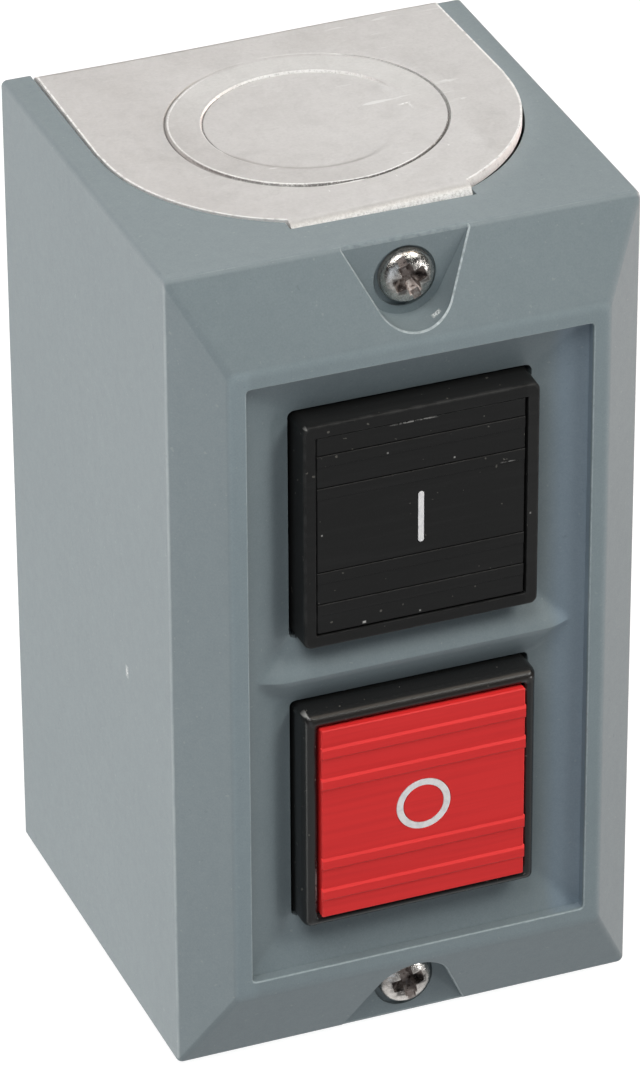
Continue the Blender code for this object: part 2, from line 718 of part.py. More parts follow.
def clamp_plate(z, side):
    body = box(side * (TERMINAL_X - CLAMP_HALF), side * (TERMINAL_X + CLAMP_HALF),
               CLAMP_FRONT, CLAMP_BACK, z - CLAMP_HALF, z + CLAMP_HALF)
    bevel_edges(body, 0.7, 1, runs_along_y)
    drill(body, TERMINAL_HOLE_R, CLAMP_FRONT, CLAMP_BACK, side * TERMINAL_X, z, 16)
    return body


def retaining_clip(z):
    """Open clip in the start plunger's groove that carries the bridge."""
    return prism(arc_band(2.9, 1.7, 50, 310, 12, z), "Y", -24.55, -24.05)


def insulator():
    body = prism(rounded_rect(24.5, 34.0, 1.5), "Y", SHEET_FRONT, SHEET_BACK)
    drill_feet(body, 1.9, SHEET_FRONT, SHEET_BACK)
    return body


# ---------------------------------------------------------------- assembly

def add_shared_parts():
    finish(base_plate(), "base_plate", ZINC)
    finish(cover(), "cover", GREY)
    for label, end, turn in (("top", 1, math.radians(22)), ("bottom", -1, math.radians(14))):
        z = end * SCREW_Z
        finish(pan_screw(0, z, turn, **COVER_SCREW), "cover_screw_" + label, NICKEL, (0, -50, z))
        finish(screw_retainer(z), "screw_retainer_" + label, FIBRE, (0, -48, z))
    finish(insulator(), "insulator_sheet", FIBRE)
    finish(earth_screw(), "earth_screw", GREEN, (EARTH_X, 0, EARTH_Z))


def add_start_parts(z, axis):
    """The pieces only the start button has in this form."""
    finish(button_cap(z, edge=0.45, edge_steps=2), "start_button_cap", BLACK, axis)
    finish(legend_plate(z, START_FACE), "start_legend_plate", BLACK, axis)
    finish(lathe(PLUNGER_HEAD + START_TAIL, 0, z, 16), "start_plunger", BLACK, axis)
    finish(start_bridge(z), "start_contact_bridge", BRASS, axis)
    spring = coil(z, 2.9, 0.25, STEP_Y + GAP, START_BRIDGE_Y - GAP, turns=4.0)
    finish(spring, "start_contact_spring", SPRING, axis)
    finish(retaining_clip(z), "start_bridge_clip", SPRING, axis)


def add_stop_parts(z, axis):
    """The pieces only the stop button has in this form; its cap has a softer edge."""
    finish(button_cap(z, edge=1.15, edge_steps=4), "stop_button_cap", BLACK, axis)
    finish(legend_plate(z, STOP_FACE), "stop_legend_plate", RED, axis)
    finish(lathe(PLUNGER_HEAD + STOP_TAIL, 0, z, 16), "stop_plunger", BLACK, axis)
    finish(contact_bridge(z, STOP_BRIDGE_Y, FRONT), "stop_contact_bridge", BRASS, axis)
    spring = coil(z, 2.9, 0.25, STOP_BRIDGE_Y + BRIDGE + GAP, BLOCK_BACK, turns=6.0)
    finish(spring, "stop_contact_spring", SPRING, axis)


def add_block_parts(name, z, axis, tip_direction):
    """Return spring, contact block, terminals and screws of one button."""
    spring = coil(z, 4.8, 0.35, COLLAR_BACK + GAP, TOWER_Y - GAP, turns=4.5)
    finish(spring, name + "_return_spring", SPRING, axis)
    finish(contact_block(z), name + "_contact_block", PHENOLIC)
    finish(block_base(z), name + "_block_base", PHENOLIC)
    for side, label in ((-1, "left"), (1, "right")):
        x = side * TERMINAL_X
        contact = fixed_contact(z, side, tip_direction)
        finish(contact, name + "_fixed_contact_" + label, BRASS)
        finish(clamp_plate(z, side), name + "_clamp_plate_" + label, NICKEL)
        finish(pan_screw(x, z, 0.4 + side, **TERMINAL_SCREW),
               name + "_terminal_screw_" + label, NICKEL, (x, -20, z))
    for side, label in ((1, "upper"), (-1, "lower")):
        foot_z = z + side * FOOT_SCREW_Z
        finish(pan_screw(0, foot_z, 0.7 * side, **BLOCK_SCREW),
               name + "_block_screw_" + label, NICKEL, (0, -10, foot_z))


add_shared_parts()
for button, button_z, add_own_parts, fixed_tips in (
        ("start", BUTTON_Z, add_start_parts, FRONT), ("stop", -BUTTON_Z, add_stop_parts, BACK)):
    button_axis = (0.0, -50.0, button_z)
    add_own_parts(button_z, button_axis)
    add_block_parts(button, button_z, button_axis, fixed_tips)
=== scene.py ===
"""A start/stop push-button station: a grey cover on a bent steel sheet, a black start button above a
red stop button, and a screw in a pocket above and below them.

The front faces -Y, +Z is up and +X is right seen from the front. The back of the sheet is at Y = 0.
Pieces are built in millimetres and settle() scales them to metres. Materials, lights and camera are
in metres.
"""

import math

import bmesh
import bpy
from mathutils import Matrix, Vector


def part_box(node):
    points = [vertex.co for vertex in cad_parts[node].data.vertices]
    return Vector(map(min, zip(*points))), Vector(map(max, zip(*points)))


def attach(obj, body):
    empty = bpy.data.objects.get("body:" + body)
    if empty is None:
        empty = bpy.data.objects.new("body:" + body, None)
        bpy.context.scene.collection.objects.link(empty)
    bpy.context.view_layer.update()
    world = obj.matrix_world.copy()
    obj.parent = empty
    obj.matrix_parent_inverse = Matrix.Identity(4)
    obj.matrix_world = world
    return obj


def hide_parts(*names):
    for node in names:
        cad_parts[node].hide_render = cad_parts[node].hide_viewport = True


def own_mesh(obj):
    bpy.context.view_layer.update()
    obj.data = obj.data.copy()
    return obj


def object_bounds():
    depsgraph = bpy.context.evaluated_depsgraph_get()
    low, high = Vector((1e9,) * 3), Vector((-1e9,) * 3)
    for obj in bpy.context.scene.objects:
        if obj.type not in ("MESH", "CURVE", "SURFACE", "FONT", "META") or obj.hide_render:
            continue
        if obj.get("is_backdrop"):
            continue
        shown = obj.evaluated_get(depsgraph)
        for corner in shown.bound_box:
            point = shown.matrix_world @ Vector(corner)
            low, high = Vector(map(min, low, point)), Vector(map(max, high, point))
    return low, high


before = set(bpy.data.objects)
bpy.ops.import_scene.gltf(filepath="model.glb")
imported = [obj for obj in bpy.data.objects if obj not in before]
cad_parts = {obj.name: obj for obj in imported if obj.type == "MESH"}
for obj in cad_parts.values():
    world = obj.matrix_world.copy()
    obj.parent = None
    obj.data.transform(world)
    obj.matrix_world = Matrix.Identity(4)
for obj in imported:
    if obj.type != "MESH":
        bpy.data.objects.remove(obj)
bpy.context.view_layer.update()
scene = bpy.context.scene
MM = 0.001

# ------------------------------------------------------------------ sizes, in millimetres


def box_mm(node):
    low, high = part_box(node)
    return low * 1000.0, high * 1000.0


cover_low, cover_high = box_mm("cover")
base_low, base_high = box_mm("base_plate")
cap_low, cap_high = box_mm("start_button_cap")
screw_low, screw_high = box_mm("cover_screw_top")
LEGEND_BACK = box_mm("start_legend_plate")[1].y

# cover: half widths and heights
HALF_REAR = cover_high.x
HALF_FRONT = HALF_REAR - 0.3
HALF_H = cover_high.z
RIM_X, RIM_Z = 22.75, 41.2                 # outside of the flat rim
WELL_X, WELL_Z = 20.85, 39.3               # the sunken field inside the rim
HALF_OPENING = 29.5 / 2                    # square hole round each button
BUTTON_Z = (cap_low.z + cap_high.z) / 2
SCREW_Z = (screw_low.z + screw_high.z) / 2
# cover: depths
RIM_Y = cover_low.y
EDGE_Y = RIM_Y + 5.1                       # where the sloped border meets the sides
WELL_Y = RIM_Y + 1.4                       # well surface beside the rim
FLOOR_Y = RIM_Y + 3.5                      # well surface beside the buttons
RIDGE_Y = RIM_Y + 0.7                      # crest between the buttons
INNER_Y = RIM_Y + 7.3                      # back of the front wall
POCKET_Y = RIM_Y + 5.15
SEAT_Y = RIM_Y + 5.7                       # under the screw heads
CHAMFER = 0.17                             # on the pocket rims
# base sheet
FLANGE_Z = base_high.z
ARC_Y = -22.4                              # centre of the rounded flange outline
SHEET_X, SHEET_R = base_high.x - 0.45, base_high.x - 0.55
SHEET_TAB, SHEET_TAB_Y = 10.8, base_low.y + 0.6
HOLE_Y = -22.8
KNOCKOUT_Y = HOLE_Y - 0.45                 # centre of the two knockout rings
KNOCKOUT_OUT, KNOCKOUT_IN = 16.2, 12.05

# ------------------------------------------------------------------ mesh helpers


def new_object(shape, name="piece"):
    bmesh.ops.recalc_face_normals(shape, faces=shape.faces)
    mesh = bpy.data.meshes.new(name)
    shape.to_mesh(mesh)
    shape.free()
    obj = bpy.data.objects.new(name, mesh)
    scene.collection.objects.link(obj)
    return obj


def place(axis, point, along):
    """A flat point set at a distance along the axis."""
    first, second = point
    return {"Y": (first, along, second), "Z": (first, second, along),
            "X": (along, first, second)}[axis]


def bridge(shape, rows):
    """Joins each closed row of vertices to the next with quads."""
    for near, far in zip(rows, rows[1:]):
        for i in range(len(near)):
            j = (i + 1) % len(near)
            shape.faces.new((near[i], near[j], far[j], far[i]))


def loft(loops):
    """A solid skinned over closed loops of points. A first loop of one point makes a tip."""
    shape = bmesh.new()
    rows = [[shape.verts.new(point) for point in loop] for loop in loops]
    pointed = len(rows[0]) == 1
    if not pointed:
        shape.faces.new(rows[0])
    shape.faces.new(rows[-1])
    if pointed:
        tip = rows.pop(0)[0]
        row = rows[0]
        for i in range(len(row)):
            shape.faces.new((tip, row[i], row[(i + 1) % len(row)]))
    bridge(shape, rows)
    return new_object(shape)


def prism(outline, axis, start, end):
    return loft([[place(axis, point, along) for point in outline] for along in (start, end)])


def box(x0, x1, y0, y1, z0, z1):
    return prism([(x0, z0), (x1, z0), (x1, z1), (x0, z1)], "Y", y0, y1)


def ring(radius, count, centre):
    turns = [2 * math.pi * i / count for i in range(count)]
    return [(centre[0] + radius * math.cos(t), centre[1] + radius * math.sin(t)) for t in turns]


def lathe(profile, centre, count, axis="Y"):
    """Turns a profile of (radius, place along the axis). A first radius of 0 makes a tip."""
    return loft([[place(axis, point, along)
                  for point in (ring(radius, count, centre) if radius else [centre])]
                 for radius, along in profile])


def cylinder(radius, start, end, z, count=32):
    return lathe([(radius, start), (radius, end)], (0, z), count)


def hull(points):
    shape = bmesh.new()
    for point in points:
        shape.verts.new(point)
    found = bmesh.ops.convex_hull(shape, input=shape.verts)
    unused = [v for v in found["geom_interior"] if isinstance(v, bmesh.types.BMVert)]
    if unused:
        bmesh.ops.delete(shape, geom=unused, context="VERTS")
    bmesh.ops.dissolve_limit(shape, angle_limit=math.radians(0.2), verts=shape.verts,
                             edges=shape.edges)
    return new_object(shape)


def combine(target, other, operation):
    """Applies a boolean to the target and removes the other object."""
    mod = target.modifiers.new("combine", "BOOLEAN")
    mod.object = other
    mod.operation = operation
    mod.solver = "EXACT"
    graph = bpy.context.evaluated_depsgraph_get()
    graph.update()
    mesh = bpy.data.meshes.new_from_object(target.evaluated_get(graph))
    target.modifiers.clear()
    spent = target.data
    target.data = mesh
    bpy.data.meshes.remove(spent)
    bpy.data.objects.remove(other, do_unlink=True)
    return target


def cut(target, other):
    return combine(target, other, "DIFFERENCE")


def join(target, other):
    return combine(target, other, "UNION")


def soften(obj, width, segments, degrees):
    """Rounds every edge sharper than degrees, after joining faces that lie in one plane."""
    shape = bmesh.new()
    shape.from_mesh(obj.data)
    bmesh.ops.remove_doubles(shape, verts=shape.verts, dist=0.002)
    bmesh.ops.dissolve_limit(shape, angle_limit=math.radians(0.15), verts=shape.verts,
                             edges=shape.edges)
    edges = [e for e in shape.edges
             if len(e.link_faces) == 2 and e.calc_face_angle(0.0) > math.radians(degrees)]
    bmesh.ops.bevel(shape, geom=edges, offset=width, offset_type="OFFSET", segments=segments,
                    profile=0.5, affect="EDGES", clamp_overlap=True, miter_outer="ARC",
                    spread=width * 0.5)
    shape.to_mesh(obj.data)
    shape.free()
    return obj


def rounded_rect(half_x, half_z, radius, count, mid_z=0.0):
    points = []
    for side_x, side_z, start in ((1, 1, 0), (-1, 1, 90), (-1, -1, 180), (1, -1, 270)):
        for i in range(count + 1):
            t = math.radians(start + 90.0 * i / count)
            points.append((side_x * (half_x - radius) + radius * math.cos(t),
                           mid_z + side_z * (half_z - radius) + radius * math.sin(t)))
    return points


def rect_loft(stations, count, mid_z=0.0):
    """A loft over rounded rectangles of (y, half width, half height, corner radius)."""
    return loft([[(x, y, z) for x, z in rounded_rect(half_x, half_z, radius, count, mid_z)]
                 for y, half_x, half_z, radius in stations])


def rounded_path(stations, sizes, count):
    """Rounds the inner stations of a path, each over its own size."""
    out = [stations[0]]
    for before, here, after, size in zip(stations, stations[1:], stations[2:], sizes):
        ends = []
        for other in (before, after):
            part = min(size / math.dist(here[:3], other[:3]), 0.49)
            ends.append([a + (b - a) * part for a, b in zip(here, other)])
        for k in range(count + 1):
            t = k / count
            out.append(tuple((1 - t) ** 2 * start + 2 * t * (1 - t) * mid + t * t * end
                             for start, mid, end in zip(ends[0], here, ends[1])))
    out.append(stations[-1])
    return out


def bent(points, radii, count):
    """Rounds the right-angled corners of an outline."""
    out = []
    for i, point in enumerate(points):
        radius = radii[i]
        if not radius:
            out.append(point)
            continue
        before, after = Vector(points[i - 1]), Vector(points[(i + 1) % len(points)])
        corner = Vector(point)
        start = corner + (before - corner).normalized() * radius
        end = corner + (after - corner).normalized() * radius
        centre = start + (end - corner)
        first = math.atan2(start.y - centre.y, start.x - centre.x)
        last = math.atan2(end.y - centre.y, end.x - centre.x)
        sweep = (last - first + math.pi) % (2 * math.pi) - math.pi
        for k in range(count + 1):
            t = first + sweep * k / count
            out.append((centre.x + radius * math.cos(t), centre.y + radius * math.sin(t)))
    return out


def mark_edges(mesh):
    """Stores 1 on the narrow faces that round an edge, for the rubbed edges and painted edge
    highlights in the materials.
    """
    marks = mesh.attributes.new("edge", "FLOAT", "FACE")
    for face in mesh.polygons:
        ids = list(face.vertices)
        longest = max((mesh.vertices[a].co - mesh.vertices[b].co).length
                      for a, b in zip(ids, ids[1:] + ids[:1]))
        marks.data[face.index].value = 1.0 if face.area < 0.13 * MM * longest else 0.0


def settle(obj, name, body, material, replaced, angle):
    """Scales the finished piece to metres, gives it its material and puts it on its body."""
    obj.data.transform(Matrix.Scale(MM, 4))
    obj.name = name
    obj.data.name = name
    obj.data.materials.clear()
    obj.data.materials.append(material)
    mark_edges(obj.data)
    obj.data.shade_smooth()
    obj.data.set_sharp_from_angle(angle=math.radians(angle))
    mod = obj.modifiers.new("face_weighted_normals", "WEIGHTED_NORMAL")
    mod.keep_sharp = True
    mod.weight = 60
    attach(obj, body)
    if replaced:
        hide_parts(replaced)


# ------------------------------------------------------------------ material helpers


class Nodes:
    """A short way to write a node tree. Masks and values are sockets or numbers."""

    def __init__(self, name):
        self.material = bpy.data.materials.new(name)
        self.material.use_nodes = True
        self.tree = self.material.node_tree
        self.shader = self.tree.nodes["Principled BSDF"]
        self.coord = self.tree.nodes.new("ShaderNodeTexCoord").outputs["Object"]

    def add(self, kind, inputs=None, **props):
        node = self.tree.nodes.new(kind)
        for key, value in props.items():
            setattr(node, key, value)
        for key, value in (inputs or {}).items():
            self.set(node, key, value)
        return node

    def set(self, node, key, value):
        socket = node.inputs[key]
        if isinstance(value, bpy.types.NodeSocket):
            self.tree.links.new(value, socket)
        else:
            socket.default_value = value

    def scaled(self, x, y, z, turn=(0.0, 0.0, 0.0)):
        return self.add("ShaderNodeMapping", {"Vector": self.coord, "Scale": (x, y, z),
                                              "Rotation": turn}).outputs[0]

    def noise(self, scale, detail=3.0, rough=0.55, vector=None, distortion=0.0):
        return self.add("ShaderNodeTexNoise", {
            "Vector": vector or self.coord, "Scale": scale, "Detail": detail,
            "Roughness": rough, "Distortion": distortion}).outputs[0]

    def ramp(self, value, stops):
        node = self.add("ShaderNodeValToRGB", {"Fac": value})
        elements = node.color_ramp.elements
        while len(elements) < len(stops):
            elements.new(0.5)
        for element, (position, colour) in zip(elements, stops):
            element.position = position
            element.color = (*colour, 1.0)
        return node.outputs[0]

    def band(self, value, none, full):
        """0 where the value is none, 1 where it is full, clamped."""
        return self.add("ShaderNodeMapRange", {"Value": value, "From Min": none,
                                               "From Max": full}).outputs[0]

    def spread(self, value, low, high):
        """Stretches a value of 0 to 1 over low to high."""
        return self.add("ShaderNodeMapRange", {"Value": value, "To Min": low,
                                               "To Max": high}).outputs[0]

    def math(self, op, a, b=0.0):
        return self.add("ShaderNodeMath", {0: a, 1: b}, operation=op).outputs[0]

    def mul(self, product, *factors):
        for factor in factors:
            product = self.math("MULTIPLY", product, factor)
        return product

    def peak(self, a, b):
        return self.math("MAXIMUM", a, b)

    def abs(self, value):
        return self.math("ABSOLUTE", value)

    def hypot(self, a, b):
        squares = [self.math("POWER", side, 2.0) for side in (a, b)]
        return self.math("SQRT", self.math("ADD", *squares))

    def vec(self, op, a, b=(0.0, 0.0, 0.0)):
        return self.add("ShaderNodeVectorMath", {0: a, 1: b}, operation=op).outputs[0]

    def split(self, vector):
        return self.add("ShaderNodeSeparateXYZ", {0: vector}).outputs

    def mix(self, mask, a, b, blend="MIX"):
        node = self.add("ShaderNodeMix", data_type="RGBA", blend_type=blend)
        for key, value in ((0, mask), (6, a), (7, b)):
            if isinstance(value, tuple) and len(value) == 3:
                value = (*value, 1.0)
            self.set(node, key, value)
        return node.outputs[2]

    def tint(self, colour, mask, amount, tone):
        """Lays an amount of the tone over the colour inside the mask."""
        return self.mix(self.mul(mask, amount), colour, tone)

    def bump(self, height, strength, distance, normal=None):
        inputs = {"Height": height, "Strength": strength, "Distance": distance}
        if normal is not None:
            inputs["Normal"] = normal
        return self.add("ShaderNodeBump", inputs).outputs[0]

    def hollow(self, distance, samples):
        """Low in grooves and corners, 1 in the open."""
        return self.add("ShaderNodeAmbientOcclusion", {"Distance": distance},
                        samples=samples).outputs["AO"]

    def stored(self, name):
        return self.add("ShaderNodeAttribute", attribute_name=name).outputs["Fac"]

    def edge_wear_and_highlight(self, patches, none, full):
        """Broken patches along the rounded edges, for rubbing and painted edge highlights."""
        return self.mul(self.stored("edge"), self.band(patches, none, full))

    def patch(self, centre, half, soft=0.3):
        """1 inside a small box round centre (metres), with a soft border."""
        away = self.vec("ABSOLUTE", self.vec("SUBTRACT", self.coord, centre))
        x, y, z = self.split(self.vec("DIVIDE", away, half))
        return self.band(self.peak(x, self.peak(y, z)), 1.0 + soft, 1.0 - soft)

    def out(self, **inputs):
        for key, value in inputs.items():
            self.set(self.shader, key.replace("_", " "), value)
        return self.material


def grey(tone):
    return (tone, tone, tone)


# ------------------------------------------------------------------ grey plastic

# small bright nicks, and a painted glint on the wall of the top pocket: centre, half size, strength
NICKS_AND_GLINT = (((-HALF_REAR * MM, -0.0384, -0.0062), (0.002, 0.00035, 0.00065), 0.8),
         # a painted glint: a bright spot on the top pocket's wall
         ((0.00266, -0.05555, 0.04306), (0.00042, 0.00034, 0.00030), 1.0),
         ((0.0112, -0.0535, 0.0436), (0.00045, 0.002, 0.00012), 0.45))


def grey_plastic():
    mat = Nodes("cover_grey_plastic")
    broad = mat.noise(30.0, rough=0.5)
    fine = mat.noise(900.0, detail=4.0, rough=0.6)
    colour = mat.mix(mat.band(broad, 0.30, 0.70), (0.217, 0.262, 0.281), (0.228, 0.274, 0.293))
    colour = mat.tint(colour, mat.band(fine, 0.40, 0.72), 0.22, (0.175, 0.218, 0.236))
    cloudy = mat.noise(420.0, vector=mat.scaled(1.0, 1.0, 0.6))
    colour = mat.tint(colour, mat.band(cloudy, 0.42, 0.68), 0.20, (0.252, 0.302, 0.322))
    grain = mat.noise(4800.0, detail=2.0, rough=0.7)
    colour = mat.tint(colour, mat.band(grain, 0.50, 0.72), 0.30, (0.170, 0.212, 0.232))
    colour = mat.tint(colour, mat.band(grain, 0.50, 0.28), 0.30, (0.275, 0.325, 0.342))
    # lighter broken lines along the rounded edges: rubbing and painted edge highlight
    edge_wear_and_highlight = mat.edge_wear_and_highlight(mat.noise(260.0, detail=4.0), 0.36, 0.62)
    colour = mat.tint(colour, edge_wear_and_highlight, 0.30, (0.36, 0.41, 0.42))
    # painted highlight along the chamfered rims of the screw pockets and the edge of the well's rim,
    # strongest on the right
    rim_highlight = mat.mul(mat.stored("rim_highlight"), mat.band(mat.noise(1400.0), 0.22, 0.56))
    colour = mat.tint(colour, rim_highlight, 0.85, (0.62, 0.69, 0.71))
    # painted light: the flat rim is a little lighter than the rest, most of all on the left
    x, y, z = mat.split(mat.coord)
    rim_light = mat.band(y, (RIM_Y + 0.30) * MM, (RIM_Y + 0.12) * MM)
    colour = mat.mix(rim_light, colour, (1.13, 1.14, 1.14), "MULTIPLY")
    colour = mat.mix(mat.mul(rim_light, mat.band(x, -0.0200, -0.0208)), colour,
                     (1.08, 1.08, 1.09), "MULTIPLY")
    # painted cool light: the right slope of the well is tinted bluer
    side = mat.mul(mat.band(x, 0.0165, 0.0180), mat.band(x, 0.0212, 0.0209),
                   mat.band(y, (RIM_Y + 0.30) * MM, (RIM_Y + 0.60) * MM),
                   mat.band(mat.abs(z), 0.0400, 0.0390))
    colour = mat.mix(side, colour, (1.04, 1.09, 1.20), "MULTIPLY")
    specks = mat.band(mat.noise(1700.0, detail=1.0, rough=0.4), 0.752, 0.775)
    colour = mat.tint(colour, specks, 0.25, (0.40, 0.44, 0.44))
    turned = mat.scaled(1.0, 1.0, 1.0, turn=(0.3, 0.2, 0.5))
    pits = mat.band(mat.noise(1100.0, detail=2.0, rough=0.5, vector=turned), 0.27, 0.24)
    colour = mat.tint(colour, pits, 0.22, (0.11, 0.14, 0.15))
    ragged = mat.band(mat.noise(5200.0), 0.40, 0.50)
    for centre, half, amount in NICKS_AND_GLINT:
        spot = mat.mul(mat.patch(centre, half, 0.35), ragged)
        colour = mat.tint(colour, spot, amount, (0.78, 0.82, 0.82))
    relief = mat.bump(mat.noise(4200.0, detail=2.0, rough=0.6), strength=0.18, distance=0.00003)
    return mat.out(Base_Color=colour, Roughness=mat.spread(fine, 0.42, 0.50), Normal=relief,
                   Specular_IOR_Level=0.40)


# ------------------------------------------------------------------ button plastics

# pale scratches and specks, and painted highlights and reflections on the frames: centre, half size,
# strength, whether the mark is whole or broken up by noise
START_MARKS_AND_HIGHLIGHTS = (
    ((-0.0010, -0.0581, 0.0315), (0.0022, 0.001, 0.00008), 0.55, False),
    ((0.0105, -0.0581, 0.0239), (0.0008, 0.001, 0.00006), 0.4, False),
    ((-0.0070, -0.0581, 0.0067), (0.00018, 0.001, 0.00013), 1.0, True),
    ((-0.0002, -0.0581, 0.0067), (0.00010, 0.001, 0.0001), 0.6, True),
    ((-0.0042, -0.0581, 0.0281), (0.00010, 0.001, 0.0001), 0.5, True),
    ((0.0039, -0.0581, 0.0258), (0.00009, 0.001, 0.0001), 0.6, True),
    ((-0.0121, -0.0581, 0.0191), (0.00009, 0.001, 0.0001), 0.6, True),
    ((0.0132, -0.0589, 0.0166), (0.00009, 0.001, 0.0001), 0.5, True),
    # painted highlight on the frame's top left corner, and a painted reflection down the frame's
    # right side
    ((-0.0140, -0.0587, 0.0331), (0.00018, 0.001, 0.00014), 0.5, True),
    ((0.0135, -0.0589, 0.0189), (0.0007, 0.0012, 0.0135), 0.013, True))
STOP_HIGHLIGHTS = (
    # painted highlight on the bead's top left corner, a painted reflection down its left side and a
    # painted highlight streak on it
    ((-0.0141, -0.0591, -0.00440), (0.00030, 0.002, 0.00028), 1.0, True),
    ((-0.0135, -0.0591, -0.0189), (0.0006, 0.0012, 0.0130), 0.014, True),
    ((-0.0131, -0.0591, -0.0270), (0.00012, 0.002, 0.0026), 0.40, False))


def black_plastic(name, tone, rough, scuffs, specular, marks, upper=None):
    """Upper gives the heights between which a paler band, a painted reflection, fades in along the
    top.
    """
    mat = Nodes(name)
    colour = mat.mix(mat.band(mat.noise(90.0), 0.35, 0.65), grey(tone * 0.97), grey(tone * 1.03))
    lines = mat.noise(1100.0, rough=0.6, vector=mat.scaled(0.05, 1.0, 1.0))
    colour = mat.tint(colour, mat.band(lines, 0.5, 0.75), scuffs, grey(tone * 1.8))
    dust = mat.band(mat.noise(1500.0, detail=1.0, rough=0.4), 0.765, 0.785)
    colour = mat.tint(colour, dust, 0.5, (0.20, 0.19, 0.17))
    grain = mat.band(mat.noise(4600.0, detail=2.0, rough=0.7), 0.55, 0.75)
    colour = mat.tint(colour, grain, 0.25, grey(tone * 2.2))
    # short pale scratches, most of them along the ribs
    along = mat.scaled(0.08, 1.0, 1.0, turn=(0.0, 0.12, 0.0))
    strokes = mat.noise(520.0, detail=2.0, rough=0.4, vector=along)
    area = mat.band(mat.noise(170.0, detail=2.0, rough=0.5), 0.56, 0.62)
    scratch = mat.mul(mat.band(strokes, 0.735, 0.765), area)
    colour = mat.tint(colour, scratch, 0.6 * min(1.0, scuffs * 3), (0.26, 0.25, 0.24))
    broken = mat.band(mat.noise(2400.0), 0.42, 0.56)
    # pale scratches and specks, and painted highlights and reflections
    for centre, half, amount, whole in marks:
        spot = mat.patch(centre, half, 0.4)
        if not whole:
            spot = mat.mul(spot, broken)
        colour = mat.tint(colour, spot, amount, (0.55, 0.54, 0.52))
    # lighter broken lines along the rounded edges: rubbing and painted edge highlight
    colour = mat.tint(colour, mat.edge_wear_and_highlight(mat.noise(500.0), 0.40, 0.60), 0.25, grey(0.07))
    if upper:
        # painted reflection: a paler brownish band along the top of the frame
        _, y, z = mat.split(mat.coord)
        top_reflection = mat.mul(mat.band(z, *upper), mat.band(lines, 0.20, 0.60),
                        mat.band(y, -0.0579, -0.0587))
        colour = mat.mix(top_reflection, colour, (0.040, 0.034, 0.031))
    bump = mat.bump(lines, strength=0.12, distance=0.00004)
    bump = mat.bump(mat.noise(4200.0, detail=2.0), strength=0.08, distance=0.00003, normal=bump)
    return mat.out(Base_Color=colour, Roughness=mat.spread(mat.noise(700.0), *rough), Normal=bump,
                   Specular_IOR_Level=specular)


def red_plastic():
    mat = Nodes("legend_red_plastic")
    colour = mat.mix(mat.band(mat.noise(90.0), 0.35, 0.65), (0.85, 0.030, 0.030),
                     (0.87, 0.032, 0.032))
    streaks = mat.noise(1300.0, detail=4.0, rough=0.6, vector=mat.scaled(0.03, 1.0, 1.0))
    colour = mat.tint(colour, mat.band(streaks, 0.42, 0.72), 0.32, (0.62, 0.015, 0.018))
    # lighter broken lines along the rounded edges: rubbing and painted edge highlight
    colour = mat.tint(colour, mat.edge_wear_and_highlight(mat.noise(700.0), 0.40, 0.62), 0.25, (0.92, 0.14, 0.12))
    bump = mat.bump(streaks, strength=0.22, distance=0.00005)
    bump = mat.bump(mat.noise(3600.0, detail=2.0), strength=0.08, distance=0.00003, normal=bump)
    return mat.out(Base_Color=colour, Roughness=mat.spread(streaks, 0.36, 0.56), Normal=bump,
                   Specular_IOR_Level=0.30)


def legend_white():
    mat = Nodes("legend_white_fill")
    colour = mat.mix(mat.band(mat.noise(1600.0, detail=4.0), 0.45, 0.75), (0.99, 0.97, 0.97),
                     (0.80, 0.79, 0.81))
    relief = mat.bump(mat.noise(2600.0), strength=0.25, distance=0.00004)
    return mat.out(Base_Color=colour, Roughness=mat.spread(mat.noise(900.0), 0.40, 0.60),
                   Normal=relief)


# ------------------------------------------------------------------ sheet steel

# painted highlight arcs on the knockout rims, in millimetres: inner and outer radius, direction the
# arc lies in, distance that way where it fades in and where it is full, strength
KNOCKOUT_GLINTS = ((16.24, 16.44, (0.9, -0.45), 2.0, 6.0, 0.75), (15.80, 15.98, (-1.0, 0.1), 7.0, 11.0, 0.70),
        (15.80, 16.04, (-0.25, -0.95), 8.5, 12.0, 0.95),
        (16.22, 16.34, (-0.25, -0.95), 10.0, 13.0, 0.7),
        (12.08, 12.24, (-0.90, 0.45), 4.0, 9.0, 0.60), (11.92, 12.16, (0.10, 1.0), 5.0, 8.5, 0.85))
# painted shadow lines along the knockout rims, laid out the same way
KNOCKOUT_SHADOWS = ((16.02, 16.20, (0.75, -0.65), 3.0, 7.0, 0.85),
        (16.06, 16.18, (-0.45, -0.90), 8.0, 11.5, 0.75),
        (11.88, 12.00, (-0.85, 0.50), 5.5, 9.0, 0.70))
# painted highlights on the tie beside the inner knockout ring: centre, half size, strength
TIE_HIGHLIGHTS = (((0.0114, -0.0246, 0.0533), (0.00055, 0.00016, 0.002), 0.9),
          ((0.0119, -0.0253, 0.0533), (0.00013, 0.0006, 0.002), 0.5))


